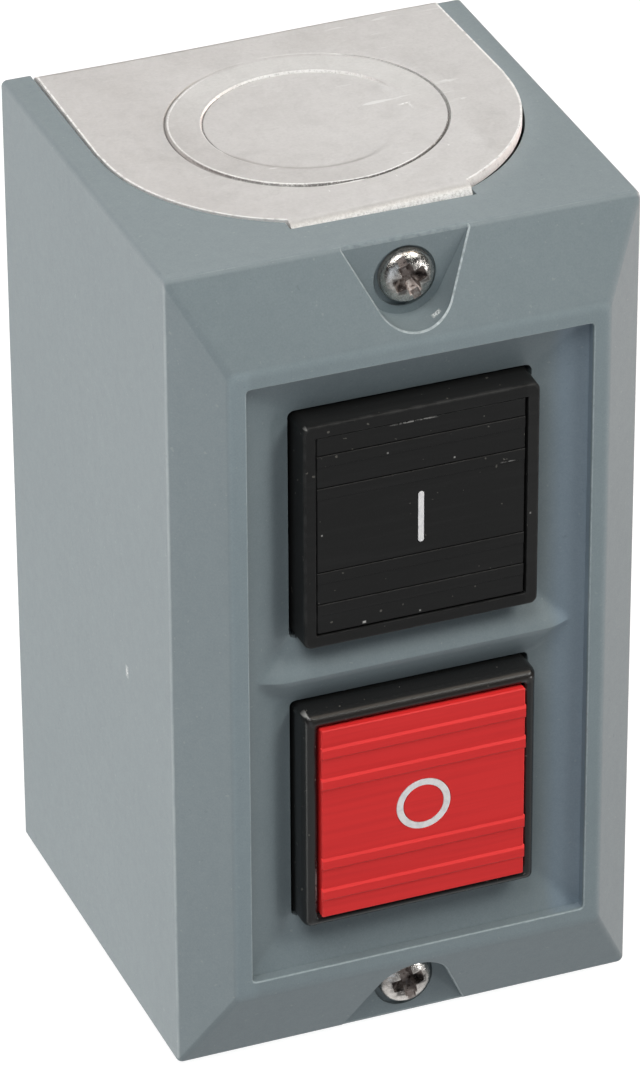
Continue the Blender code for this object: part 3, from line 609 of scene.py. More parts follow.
def steel_surface(mat, cloud):
    """The mottled, scratched colour of the sheet."""
    colour = mat.ramp(cloud, [(0.30, (0.570, 0.550, 0.530)), (0.46, (0.614, 0.593, 0.572)),
                              (0.60, (0.638, 0.617, 0.596)), (0.75, (0.594, 0.574, 0.553))])
    stain = mat.band(mat.noise(110.0, detail=4.0, rough=0.6), 0.52, 0.70)
    colour = mat.tint(colour, stain, 0.22, (0.52, 0.495, 0.465))
    blot = mat.noise(620.0, detail=4.0, rough=0.6, distortion=0.8)
    colour = mat.tint(colour, mat.band(blot, 0.54, 0.68), 0.22, (0.72, 0.70, 0.68))
    colour = mat.tint(colour, mat.band(blot, 0.46, 0.34), 0.20, (0.50, 0.485, 0.465))
    fine = mat.noise(2600.0, rough=0.65)
    colour = mat.tint(colour, mat.band(fine, 0.50, 0.72), 0.22, (0.76, 0.74, 0.72))
    colour = mat.tint(colour, mat.band(fine, 0.46, 0.30), 0.20, (0.46, 0.445, 0.43))
    # fine short scratches in two directions, in patches
    area = mat.band(mat.noise(120.0, detail=2.0, rough=0.5), 0.50, 0.60)
    scratches = [mat.band(mat.noise(scale, detail=2.0, rough=0.4,
                                    vector=mat.scaled(stretch, 1.0, 1.0, turn=(0.0, 0.0, turn))),
                          none, full)
                 for scale, stretch, turn, none, full in ((900.0, 0.14, -0.4, 0.70, 0.735),
                                                          (800.0, 0.16, 0.9, 0.71, 0.74))]
    colour = mat.tint(colour, mat.mul(mat.peak(*scratches), area), 0.60, (0.84, 0.83, 0.81))
    # painted shade in the grooves and hollows that the AO finds
    grooves = mat.band(mat.hollow(0.0003, samples=6), 0.72, 0.35)
    return mat.tint(colour, grooves, 0.70, (0.16, 0.15, 0.14))


def sheet_steel():
    mat = Nodes("base_galvanised_steel")
    cloud = mat.noise(240.0, detail=5.0, rough=0.65, distortion=0.5)
    colour = steel_surface(mat, cloud)
    at_x, at_y, at_z = mat.split(mat.coord)
    # the sheared outline and the bend of the flange are brighter and torn
    normal_z = mat.split(mat.add("ShaderNodeNewGeometry").outputs["Normal"])["Z"]
    x, from_hole, _ = mat.split(mat.vec("SUBTRACT", mat.coord, (0.0, HOLE_Y * MM, 0.0)))
    away = mat.hypot(x, from_hole)
    upright = mat.mul(mat.band(mat.abs(normal_z), 0.97, 0.55),
                      mat.band(mat.abs(at_z), 0.0485, 0.0495), mat.band(at_y, -0.0020, -0.0035),
                      mat.band(away, 0.0175, 0.0185))
    tear = mat.noise(3600.0, detail=4.0, rough=0.75)
    edge = mat.mix(mat.band(tear, 0.36, 0.58), (0.52, 0.505, 0.49), (0.96, 0.95, 0.93))
    colour = mat.tint(colour, upright, 0.85, edge)
    # painted highlight along the rounded edges of the top flange
    edge_highlight = mat.mul(mat.stored("edge"), mat.band(mat.abs(at_z), 0.0500, 0.0510),
                   mat.band(away, 0.0175, 0.0185), mat.band(mat.noise(1300.0), 0.26, 0.48))
    # painted highlights on the torn rims of the knockouts in the top flange, beside the painted
    # shadow lines
    y = mat.math("SUBTRACT", at_y, KNOCKOUT_Y * MM)
    radius = mat.hypot(x, y)
    upper = mat.band(at_z, 0.0500, 0.0505)

    def arc(inner, outer, way, none, full):
        reach = mat.math("ADD", mat.mul(x, way[0]), mat.mul(y, way[1]))
        return mat.mul(mat.band(radius, (inner - 0.04) * MM, (inner + 0.02) * MM),
                       mat.band(radius, (outer + 0.04) * MM, (outer - 0.02) * MM),
                       mat.band(reach, none * MM, full * MM), upper)

    for *place_on_rim, amount in KNOCKOUT_GLINTS:
        knockout_glint = mat.mul(arc(*place_on_rim), mat.band(tear, 0.34, 0.50), amount)
        edge_highlight = mat.peak(edge_highlight, knockout_glint)
    # painted highlight on the outline of the sheet: a bright line on the arc and on both side edges
    forward = mat.math("SUBTRACT", at_y, ARC_Y * MM)
    reach = mat.hypot(x, forward)
    rim = mat.mul(mat.band(reach, (SHEET_R - 0.30) * MM, (SHEET_R - 0.22) * MM),
                  mat.band(forward, 0.0, -0.001),
                  mat.band(reach, (SHEET_R + 0.06) * MM, (SHEET_R + 0.01) * MM),
                  mat.band(mat.abs(x), (SHEET_TAB - 0.15) * MM, (SHEET_TAB + 0.05) * MM))
    rim = mat.peak(rim, mat.band(mat.abs(x), (SHEET_X - 0.26) * MM, (SHEET_X - 0.18) * MM))
    rim = mat.mul(rim, upper, mat.band(mat.noise(1300.0), 0.28, 0.52))
    edge_highlight = mat.peak(edge_highlight, mat.mul(rim, 0.85))
    for centre, half, amount in TIE_HIGHLIGHTS:
        spot = mat.mul(mat.patch(centre, half, 0.5), mat.band(tear, 0.40, 0.52), amount)
        edge_highlight = mat.peak(edge_highlight, spot)
    # painted light across the flange: darker to the left, lighter to the right
    colour = mat.mix(mat.band(at_x, -0.022, 0.016),
                     mat.mix(1.0, colour, (0.955, 0.96, 0.975), "MULTIPLY"),
                     mat.mix(1.0, colour, (1.05, 1.065, 1.085), "MULTIPLY"))
    # the rear half of the ring between the two knockout rims is a little lighter
    pressed = arc(12.5, 15.7, (0.15, 1.0), 0.0, 7.0)
    colour = mat.mix(pressed, colour, (1.045, 1.055, 1.05), "MULTIPLY")
    colour = mat.tint(colour, edge_highlight, 0.90, (0.98, 0.98, 0.97))
    # painted shadow lines along the knockout rims
    for *place_on_rim, amount in KNOCKOUT_SHADOWS:
        shadow_line = mat.mul(arc(*place_on_rim), mat.band(tear, 0.66, 0.50))
        colour = mat.tint(colour, shadow_line, amount, (0.11, 0.105, 0.10))
    drag = mat.noise(900.0, detail=4.0, rough=0.6,
                     vector=mat.scaled(0.08, 1.0, 1.0, turn=(0.0, 0.0, 0.35)))
    bump = mat.bump(drag, strength=0.04, distance=0.00004)
    bump = mat.bump(mat.noise(2300.0), strength=0.10, distance=0.00003, normal=bump)
    bump = mat.bump(mat.mul(tear, upright), strength=0.6, distance=0.00010, normal=bump)
    metal = mat.math("SUBTRACT", 0.55, mat.mul(mat.peak(upright, edge_highlight), 0.45))
    return mat.out(Base_Color=colour, Metallic=metal, Roughness=mat.spread(cloud, 0.46, 0.56),
                   Normal=bump)


# ------------------------------------------------------------------ plated steel and the rest

SCREW_X = 0.18                             # the cover screws sit a little to the right
# painted shade over the arms of the cross recess on both cover screws, in millimetres: offset in X
# and Z, half width, half height
CROSS_SHADE_PATCHES = ((-1.62, 0.02, 0.50, 0.46), (-0.90, -1.28, 0.52, 0.46), (1.70, -0.02, 0.66, 0.56))


def plated_steel():
    mat = Nodes("nickel_plate")
    tone = (0.78, 0.74, 0.70)
    cloud = mat.noise(1100.0, detail=4.0, rough=0.65)
    colour = mat.mix(mat.band(cloud, 0.42, 0.66), tone, tuple(c * 0.62 for c in tone))
    # painted shade in the hollows that the AO finds, broken up by noise
    hollow_shade = mat.mul(mat.band(mat.hollow(0.0012, samples=8), 0.70, 0.30),
                    mat.band(mat.noise(2600.0, rough=0.6), 0.22, 0.50))
    # rust-brown crust in the slot and cross
    deep = mat.band(mat.stored("recess"), 0.05, 0.14)
    crust = mat.noise(2100.0, detail=4.0, rough=0.7)
    slot = mat.mul(deep, mat.band(crust, 0.74, 0.50))
    colour = mat.tint(colour, slot, 0.80, (0.24, 0.180, 0.160))
    colour = mat.tint(colour, deep, mat.band(crust, 0.42, 0.34), (0.045, 0.030, 0.026))
    # painted shade over the arms of the cross recess, strongest inside it
    shade_speckle = mat.mul(mat.band(mat.noise(3300.0, rough=0.7), 0.66, 0.54), mat.peak(deep, 0.8))
    cross_shade = 0.0
    for off_x, off_z, half_x, half_z in CROSS_SHADE_PATCHES:
        for z in (SCREW_Z, -SCREW_Z):
            centre = ((SCREW_X + off_x) * MM, SEAT_Y * MM, (z + off_z) * MM)
            half = (half_x * MM, 4.0 * MM, half_z * MM)
            cross_shade = mat.peak(cross_shade, mat.patch(centre, half, 0.25))
    hollow_shade = mat.peak(mat.mul(hollow_shade, 0.45), mat.mul(shade_speckle, cross_shade))
    colour = mat.tint(colour, hollow_shade, 0.95, (0.022, 0.014, 0.013))
    rough = mat.spread(mat.noise(1700.0, detail=4.0), 0.16, 0.36)
    rough = mat.math("ADD", rough, mat.mul(mat.peak(hollow_shade, deep), 0.26))
    metal = mat.math("SUBTRACT", 1.0, mat.mul(mat.peak(hollow_shade, mat.mul(slot, 0.6)), 0.7))
    bump = mat.bump(mat.noise(1500.0, rough=0.6), strength=0.7, distance=0.00012)
    bump = mat.bump(mat.noise(5200.0, detail=2.0), strength=0.3, distance=0.00004, normal=bump)
    return mat.out(Base_Color=colour, Metallic=metal, Roughness=rough, Normal=bump)


def mottled(name, dark, light, metallic, rough, scale, stretch=(1.0, 1.0, 1.0), relief=0.15):
    """A plain material clouded between two tones."""
    mat = Nodes(name)
    vector = mat.scaled(*stretch)
    cloud = mat.noise(scale, detail=4.0, rough=0.6, vector=vector)
    colour = mat.mix(mat.band(cloud, 0.35, 0.68), dark, light)
    speck = mat.band(mat.noise(scale * 9.0, detail=2.0), 0.66, 0.72)
    colour = mat.tint(colour, speck, 0.25, tuple(min(1.0, c * 1.6 + 0.02) for c in light))
    bump = mat.bump(mat.noise(scale * 12.0, rough=0.6, vector=vector), strength=relief,
                    distance=0.00004)
    return mat.out(Base_Color=colour, Metallic=metallic, Roughness=mat.spread(cloud, *rough),
                   Normal=bump)


GREY = grey_plastic()
BLACK = black_plastic("button_black_satin", tone=0.0133, rough=(0.46, 0.50), scuffs=0.35,
                      specular=0.21, marks=START_MARKS_AND_HIGHLIGHTS)
GLOSS = black_plastic("button_black_gloss", tone=0.016, rough=(0.22, 0.28), scuffs=0.12,
                      specular=0.45, marks=STOP_HIGHLIGHTS, upper=(-0.0061, -0.0055))
RED = red_plastic()
WHITE = legend_white()
STEEL = sheet_steel()
NICKEL = plated_steel()
BRASS = mottled("contact_brass", (0.58, 0.40, 0.15), (0.74, 0.55, 0.24), metallic=1.0,
                rough=(0.22, 0.42), scale=260.0, stretch=(0.3, 1.0, 1.0))
PHENOLIC = mottled("block_phenolic", (0.035, 0.024, 0.018), (0.062, 0.043, 0.030), metallic=0.0,
                   rough=(0.38, 0.55), scale=180.0)
WIRE = mottled("spring_wire", (0.40, 0.40, 0.40), (0.62, 0.61, 0.59), metallic=1.0,
               rough=(0.22, 0.38), scale=900.0)
FIBRE = mottled("pressed_fibre", (0.30, 0.21, 0.13), (0.45, 0.33, 0.21), metallic=0.0,
                rough=(0.75, 0.92), scale=320.0, stretch=(1.0, 1.0, 0.25), relief=0.4)
GREEN = mottled("green_plated_steel", (0.020, 0.22, 0.06), (0.045, 0.36, 0.11), metallic=0.6,
                rough=(0.28, 0.45), scale=400.0)

# ------------------------------------------------------------------ cover


def flange_outline(half, radius, tab, tab_y, steps=36):
    """The flange in X and Y: straight sides, an arc at the front and a tab on the arc."""
    points = [(half, 4.0), (half, ARC_Y + 0.4)]
    reach = math.acos(tab / radius)
    for i in range(steps + 1):
        t = reach * i / steps
        points.append((radius * math.cos(t), ARC_Y - radius * math.sin(t)))
    points.append((tab, tab_y))
    return points + [(-x, y) for x, y in reversed(points)]


def pocket_outline(sign, count=40):
    """A round pocket about the screw, opening in a widening V to the cover's end."""
    radius, half_top = 4.75, 7.75
    rise = HALF_H - SCREW_Z
    touch = math.atan2(rise, half_top) - math.acos(radius / math.hypot(half_top, rise))
    sweep = -math.pi - touch - touch
    outline = []
    for i in range(count + 1):
        t = touch + sweep * i / count
        outline.append((radius * math.cos(t), sign * SCREW_Z + sign * radius * math.sin(t)))
    slope = (half_top - radius * math.cos(touch)) / (rise - radius * math.sin(touch))
    over = 1.0                             # how far the outline runs past the cover
    wide = half_top + slope * over
    return outline + [(-wide, sign * (HALF_H + over)), (wide, sign * (HALF_H + over))]


def grown(outline, distance, sign):
    """The outline moved outwards by a distance."""
    out = []
    for i, (x, z) in enumerate(outline):
        x0, z0 = outline[i - 1]
        x2, z2 = outline[(i + 1) % len(outline)]
        before, after = math.hypot(x - x0, z - z0), math.hypot(x2 - x, z2 - z)
        nx0, nz0 = -(z - z0) / before * sign, (x - x0) / before * sign
        nx1, nz1 = -(z2 - z) / after * sign, (x2 - x) / after * sign
        step = distance / (1.0 + nx0 * nx1 + nz0 * nz1)
        out.append((x + (nx0 + nx1) * step, z + (nz0 + nz1) * step))
    return out


def slant(z):
    """Front of the sloped border at height z."""
    return RIM_Y + (abs(z) - RIM_Z) / (HALF_H - RIM_Z) * (EDGE_Y - RIM_Y)


def pocket_chamfer(sign):
    return loft([[(x, slant(z) + CHAMFER - out, z)
                  for x, z in grown(pocket_outline(sign), out, sign)] for out in (0.60, -0.10)])


def mark_rim_highlight(body):
    """Stores how strong a painted highlight each face of the pocket and well rims gets."""
    marks = body.data.attributes.new("rim_highlight", "FLOAT", "FACE")
    for face in body.data.polygons:
        x, y, z = face.center
        sign = 1 if z > 0 else -1
        border = Vector((0.0, -(HALF_H - RIM_Z), sign * (EDGE_Y - RIM_Y))).normalized()
        lean = face.normal.dot(border)
        deep = y - slant(z)
        value = 0.0
        if (abs(z) > RIM_Z + 0.3 and abs(x) < 9.2 and -0.02 < deep < CHAMFER + 0.05
                and face.normal.y < -0.15):
            if lean < 0.97 and abs(y - POCKET_Y) > 0.01:
                # the painted highlight is strongest on the right and weaker on the bottom pocket
                value = 0.95 if x > 2.2 else 0.62 if x > -2.6 else 0.40
                value *= 1.0 if z > 0 else 0.25
        elif lean > 0.97 and deep > CHAMFER + 0.05 and y > POCKET_Y and abs(x) < 8.0:
            value = 0.30
        elif (y < RIM_Y + 0.17 and face.normal.y > -0.98
              and (abs(abs(x) - WELL_X) < 0.22 or abs(abs(z) - WELL_Z) < 0.22)):
            value = 0.30
        marks.data[face.index].value = value
    return body


def smax(a, b, blend):
    return 0.5 * (a + b + math.sqrt((a - b) ** 2 + blend * blend))


def smin(a, b, blend):
    return 0.5 * (a + b - math.sqrt((a - b) ** 2 + blend * blend))


def well_level(x, z):
    """How far forward of Y = 0 the well stands: a funnel round each button, a ridge between."""
    opening = HALF_OPENING
    floor_level, crest = -FLOOR_Y, -RIDGE_Y
    side = (abs(x) - opening) * (FLOOR_Y - WELL_Y) / (WELL_X - opening)
    end = (abs(z) - BUTTON_Z - opening) * (FLOOR_Y - WELL_Y) / (WELL_Z - BUTTON_Z - opening)
    funnel = floor_level + smax(smax(side, end, 0.12), 0.0, 0.12)
    slope = (crest - floor_level) / (BUTTON_Z - opening)
    flank = crest - slope * (math.sqrt(z * z + 0.16) - 0.4 * 0.55)
    tip = crest - 0.46 * (abs(x) - 16.9) - 0.85 * math.sqrt(z * z + 0.04)
    return smax(funnel, smin(flank, tip, 0.30), 0.22)


def well_cutter():
    """A block whose back is the well's surface and whose sides round over onto the rim."""
    cols, rows = 96, 180
    corner, lip = 0.13, 0.15
    shape = bmesh.new()
    grid = []
    for j in range(rows + 1):
        row = []
        for i in range(cols + 1):
            x, z = -WELL_X + 2 * WELL_X * i / cols, -WELL_Z + 2 * WELL_Z * j / rows
            level = well_level(x, z)
            if i in (0, cols) and j in (0, rows):
                x, z = x * (1 - corner / WELL_X), z * (1 - corner / WELL_Z)
            row.append(shape.verts.new((x, -level, z)))
        grid.append(row)
    for low, high in zip(grid, grid[1:]):
        for i in range(cols):
            shape.faces.new((low[i], low[i + 1], high[i + 1], high[i]))
    loop = grid[0][:cols] + [grid[j][cols] for j in range(rows)]
    loop += grid[rows][cols:0:-1] + [grid[j][0] for j in range(rows, 0, -1)]
    stations = [(RIM_Y + lip, 0.0)]
    for degrees in (22, 45, 67, 88):
        t = math.radians(degrees)
        stations.append((RIM_Y + lip - lip * math.sin(t), lip * (1 - math.cos(t))))
    stations.append((-62.0, lip + 0.3))
    rings = [loop]
    for y, out in stations:
        rings.append([shape.verts.new((vert.co.x * (WELL_X + out) / WELL_X, y,
                                       vert.co.z * (WELL_Z + out) / WELL_Z)) for vert in loop])
    bridge(shape, rings)
    shape.faces.new(rings[-1])
    return new_object(shape)


def cover():
    # y, half width, half height, corner radius
    stations = [(cover_high.y, HALF_REAR, HALF_H, 0.7), (EDGE_Y, HALF_FRONT, HALF_H, 0.7),
                (RIM_Y, RIM_X, RIM_Z, 0.9), (RIM_Y, WELL_X - 2.0, WELL_Z - 2.0, 0.5)]
    body = rect_loft(rounded_path(stations, [0.60, 1.0], 7), 6)
    wall = 2.5
    cut(body, rect_loft([(3.0, HALF_REAR - wall, HALF_H - wall, 1.2),
                         (INNER_Y, HALF_FRONT - wall, HALF_H - wall, 1.2)], 4))
    for sign in (1, -1):
        z = sign * SCREW_Z
        cut(body, prism(pocket_outline(sign), "Y", -62.0, POCKET_Y))
        boss = cylinder(4.6, -48.6, INNER_Y - 1.0, z, 48)
        keep = box(-6, 6, -53, -45, *sorted((sign * 40, sign * 51.0)))
        join(body, combine(boss, keep, "INTERSECT"))
        cut(body, cylinder(3.75, -56.0, SEAT_Y, z, 64))
        cut(body, cylinder(2.0, -54.0, -46.0, z))
        cut(body, cylinder(4.0, -48.6, -45.0, z, 48))
        # the notch that the flange lies in
        notch = flange_outline(SHEET_X + 0.30, SHEET_R + 0.32, SHEET_TAB + 0.38, SHEET_TAB_Y - 0.12)
        cut(body, prism(notch, "Z", *sorted((sign * 48.0, sign * 56.0))))
    soften(body, 0.22, segments=4, degrees=26.0)
    for sign in (1, -1):
        cut(body, pocket_chamfer(sign))
    cut(body, well_cutter())
    for sign in (1, -1):
        hole = rounded_rect(HALF_OPENING, HALF_OPENING, 0.8, 6, sign * BUTTON_Z)
        cut(body, prism(hole, "Y", -56.0, INNER_Y + 2.0))
    return mark_rim_highlight(body)


settle(cover(), "cover_shell", "housing", GREY, "cover", 30)

# ------------------------------------------------------------------ base plate


def swell(angle, centre, half):
    """1 at centre, falling to 0 at half degrees either side."""
    off = (angle - centre + 180.0) % 360.0 - 180.0
    return 0.0 if abs(off) >= half else 0.5 + 0.5 * math.cos(math.pi * off / half)


def plateau(angle, start, stop, fade):
    """1 between start and stop degrees (counter-clockwise), fading over fade degrees outside."""
    middle, half = (start + stop) / 2, (stop - start) / 2
    off = abs((angle - middle + 180.0) % 360.0 - 180.0) - half
    t = min(1.0, max(0.0, 1.0 - off / fade))
    return t * t * (3 - 2 * t)


def knockout_height(radius, deg):
    """Relief of a knockout: the inner slug pressed in, the ring round it standing slightly up."""
    lift = 0.20 * plateau(deg, 178, 250, 34)
    gone = plateau(deg, 305, 366, 26)
    inside = min(1.0, radius / KNOCKOUT_IN)
    sunk = (0.17 + 0.02 * math.sin(math.radians(deg)) * inside) * (1 - 0.45 * gone * inside)
    tie_in = max(swell(deg, 12, 9), swell(deg, 195, 9))
    tie_out = max(swell(deg, 268, 8), swell(deg, 92, 10))
    soft = plateau(deg, 215, 345, 25)
    groove_in = 0.14 * (1 - max(soft, gone)) * (1 - tie_in)
    groove_out = 0.05 + 0.46 * plateau(deg, 282, 405, 18) + 0.16 * plateau(deg, 135, 250, 20)
    groove_out *= 1 - tie_out
    width = 0.10 + 0.55 * soft + 1.3 * gone
    t = min(1.0, max(0.0, (radius - (KNOCKOUT_IN - width)) / (0.08 + width)))
    height = -sunk * (1 - t * t * (3 - 2 * t))
    height -= groove_in * max(0.0, 1 - abs(radius - (KNOCKOUT_IN - 0.04)) / 0.16)
    if radius > KNOCKOUT_IN:
        rise = min(1.0, (radius - KNOCKOUT_IN) / (KNOCKOUT_OUT - 0.35 - KNOCKOUT_IN))
        fall = min(1.0, max(0.0, (KNOCKOUT_OUT + 0.02 - radius) / 0.20))
        height += lift * rise * fall
    return height - groove_out * max(0.0, 1 - abs(radius - (KNOCKOUT_OUT + 0.08)) / 0.15)


def knockout_patch(sign, outer, thick, count=240):
    """A disc of the flange that carries the knockout relief."""
    # radii, closest together at the two grooves
    stations = [3.0, 6.5, 9.5, 10.8, 11.3, 11.6, 11.8, 11.93, 12.01, 12.08, 12.17, 12.35, 12.8,
                13.6, 14.4, 15.2, 15.6, 15.82, 15.95, 16.02, 16.10, 16.18, 16.28, 16.36, 16.44,
                16.6, 17.0, outer]
    shape = bmesh.new()

    def vert(radius, k, drop=0.0):
        deg = 360.0 * k / count
        t = math.radians(deg)
        height = knockout_height(radius, deg) if radius < outer else 0.0
        return shape.verts.new((radius * math.cos(t), KNOCKOUT_Y + radius * math.sin(t),
                                sign * (FLANGE_Z + height - drop)))

    rows = [[vert(radius, k) for k in range(count)] for radius in stations]
    rows.append([vert(outer, k, thick) for k in range(count)])
    middle = shape.verts.new((0.0, KNOCKOUT_Y, sign * (FLANGE_Z + knockout_height(0.0, 90.0))))
    for k in range(count):
        j = (k + 1) % count
        shape.faces.new((middle, rows[0][k], rows[0][j]))
        for near, far in zip(rows, rows[1:]):
            shape.faces.new((near[k], far[k], far[j], near[j]))
    shape.faces.new(rows[-1])
    return new_object(shape)


def tilt_flanges(body):
    """The top flange sits nearly flush on the left and stands proud on the right."""
    shape = bmesh.new()
    shape.from_mesh(body.data)
    for x in range(-20, 24, 4):
        flange = [v for v in shape.verts if v.co.z > 45]
        for parts in (shape.edges, shape.faces):
            flange += [part for part in parts if all(v.co.z > 45 for v in part.verts)]
        bmesh.ops.bisect_plane(shape, geom=flange, dist=1e-5, plane_co=(x + 0.013, 0, 0),
                               plane_no=(1, 0, 0))
    for vert in shape.verts:
        x, y, z = vert.co
        if z > 45:
            right = min(1.0, max(0.0, (x + 17.0) / 40.0))
            forward = min(1.0, max(0.0, -y / 12.0))
            proud = 0.10 + 1.15 * right * right * (3 - 2 * right)
            vert.co.z += ((HALF_H + proud - FLANGE_Z) * (0.35 + 0.65 * forward)
                          * min(1.0, (z - 45.0) / 5.0))
        elif z < -45:
            vert.co.z += 0.2 * min(1.0, (-45.0 - z) / 5.0)
    shape.to_mesh(body.data)
    shape.free()
    return body


def base_sheet():
    top, thick, tab_y = FLANGE_Z, 1.3, SHEET_TAB_Y
    lip_end = 42.0
    # upper half of the section in Y and Z: back, flange, lip
    half = [(0.0, top), (tab_y, top), (tab_y, lip_end), (tab_y + thick, lip_end),
            (tab_y + thick, top - thick), (-thick, top - thick)]
    radii = [1.8, 1.7, 0.0, 0.0, 0.5, 0.6]
    section = bent(half + [(y, -z) for y, z in reversed(half)], radii + radii[::-1], 9)
    body = prism(section, "X", -SHEET_X, SHEET_X)
    plan = flange_outline(SHEET_X, SHEET_R, SHEET_TAB, tab_y - 0.4)
    combine(body, prism(plan, "Z", -60.0, 60.0), "INTERSECT")
    for sign in (1, -1):
        for side in (1, -1):
            # the lip is narrower than the tab
            corner = [(side * x, sign * z) for x, z in
                      ((7.5, 40.0), (14.0, 40.0), (14.0, 50.2), (10.2, 50.2), (7.5, 47.7))]
            cut(body, prism(corner, "Y", tab_y - 1.0, tab_y + thick + 0.6))
        cut(body, cylinder(2.0, tab_y - 2, tab_y + thick + 2, sign * SCREW_Z))
    for z in (40.0, -40.0):
        cut(body, cylinder(2.6, -4, 4, z, 40))
    for button_z in (BUTTON_Z, -BUTTON_Z):
        for sign in (1, -1):
            cut(body, cylinder(1.8, -4, 4, button_z + sign * 10.7))
    cut(body, lathe([(2.1, -4), (2.1, 4)], (17.0, -41.5), 32))
    soften(body, 0.13, segments=3, degrees=30.0)
    patch_r, patch_thick = 17.8, 0.9
    for sign in (1, -1):
        start, end = sorted((sign * (top - patch_thick), sign * (top + 1.0)))
        cut(body, lathe([(patch_r, start), (patch_r, end)], (0, KNOCKOUT_Y), 240, axis="Z"))
        join(body, knockout_patch(sign, patch_r, patch_thick))
    return tilt_flanges(body)


settle(base_sheet(), "base_sheet", "housing", STEEL, "base_plate", 22)

# ------------------------------------------------------------------ cover screws


def head_screw(centre_z, end, head_r, head_h, turn):
    """A domed screw with a straight slot over a cross recess."""
    top = SEAT_Y - head_h
    side = 0.45                            # straight part of the head
    shank_r = 1.75

    def dome(t):
        return SEAT_Y - side - (head_h - side) * math.cos(t) ** 0.80

    profile = [(0.0, top)]
    for i in range(1, 15):
        t = math.radians(90.0 * i / 14)
        profile.append((head_r * math.sin(t) ** 0.80, dome(t)))
    profile += [(head_r, SEAT_Y), (shank_r, SEAT_Y), (shank_r, end - 0.6), (shank_r * 0.6, end)]
    body = lathe(profile, (SCREW_X, centre_z), 72)
    cosine, sine = math.cos(turn), math.sin(turn)

    def spin(x, z):
        return (SCREW_X + x * cosine - z * sine, centre_z + x * sine + z * cosine)

    slot, reach = 0.50, head_r + 1
    corners = ((-slot, -reach), (slot, -reach), (slot, reach), (-slot, reach))
    cut(body, prism([spin(*corner) for corner in corners], "Y", top - 1.0, top + 0.62))
    for swap in (False, True):
        points = []
        for y, length, width in ((top - 0.4, 2.45, 0.92), (top + 1.55, 0.85, 0.40)):
            for a in (-length, length):
                for b in (-width, width):
                    x, z = spin(b, a) if swap else spin(a, b)
                    points.append((x, y, z))
        cut(body, hull(points))
    soften(body, 0.06, segments=2, degrees=32.0)
    # depth of every recessed face below the dome, for the crust and the painted shade in the
    # material
    marks = body.data.attributes.new("recess", "FLOAT", "FACE")
    for face in body.data.polygons:
        x, y, z = face.center
        part = min(1.0, math.hypot(x - SCREW_X, z - centre_z) / head_r)
        deep = y - dome(math.asin(part ** 1.25))
        on_head = part < 0.93 and y < SEAT_Y - 0.05
        marks.data[face.index].value = min(1.0, max(0.0, deep / 1.4)) if on_head else 0.0
    return body


for name, z, degrees in (("cover_screw_top", SCREW_Z, 22), ("cover_screw_bottom", -SCREW_Z, 14)):
    low, high = box_mm(name)
    piece = head_screw(z + 0.06, high.y, head_r=(high.x - low.x) / 2 + 0.14,
                       head_h=SEAT_Y - low.y, turn=math.radians(degrees))
    settle(piece, name.replace("screw", "pan_screw"), "housing", NICKEL, name, 40)

# ------------------------------------------------------------------ buttons


def cap_shape(mid_z, bead, half_x, half_z):
    """A square cap with a frame round its legend; the frame is a round bead or a flat edge."""
    rear, front = (-50.0, 14.45, 14.45, 0.9), cap_low.y
    if bead:
        path = [rear, (front + 1.35, half_x + 0.02, half_z + 0.02, 0.9)]
        for i in range(1, 11):
            t = math.radians(9.0 * i)
            inset = 1.05 * (1 - math.cos(t))
            path.append((front + 1.30 - 1.50 * math.sin(t), half_x - inset, half_z - inset,
                         0.9 - 0.5 * i / 10))
        path += [(front + y, half_x - inset, half_z - inset, radius) for y, inset, radius in
                 ((-0.13, 1.32, 0.35), (0.06, 1.52, 0.3), (0.30, 1.62, 0.3))]
    else:
        stations = [rear, (front, half_x, half_z, 0.9), (front, half_x - 1.6, half_z - 1.6, 0.3)]
        path = rounded_path(stations, [0.42], 6)
    body = rect_loft(path, 6, mid_z)
    # the skirt behind the cover's front wall
    join(body, prism(rounded_rect(15.8, 15.8, 1.0, 4, mid_z), "Y", INNER_Y + 0.3, -48.8))
    seat = 12.82                           # half the legend's recess
    cut(body, box(-seat, seat, -60.0, LEGEND_BACK + 0.3, mid_z - seat, mid_z + seat))
    cut(body, prism(rounded_rect(12.0, 12.0, 0.8, 4, mid_z), "Y", -54.6, -47.0))
    join(body, cylinder(5.0, -55.0, -47.5, mid_z, 40))
    cut(body, cylinder(3.8, -53.6, -46.0, mid_z, 40))
    return soften(body, 0.10, segments=2, degrees=50.0)


settle(cap_shape(BUTTON_Z, False, 14.25, 14.38), "start_cap", "start_button",
       BLACK, "start_button_cap", 30)
settle(cap_shape(-BUTTON_Z, True, 14.40, 14.48), "stop_cap", "stop_button",
       GLOSS, "stop_button_cap", 30)


def stadium(half_w, half_l, mid_z, count=14):
    """An upright slot outline with round ends."""
    points = []
    for sign, start in ((1, 0.0), (-1, math.pi)):
        for k in range(count + 1):
            t = start + math.pi * k / count
            points.append((half_w * math.cos(t),
                           mid_z + sign * (half_l - half_w) + half_w * math.sin(t)))
    return points


def annulus(mid_z, inner, outer, front, back):
    return cut(cylinder(outer, front, back, mid_z, 72),
               cylinder(inner, front - 1, back + 1, mid_z, 72))


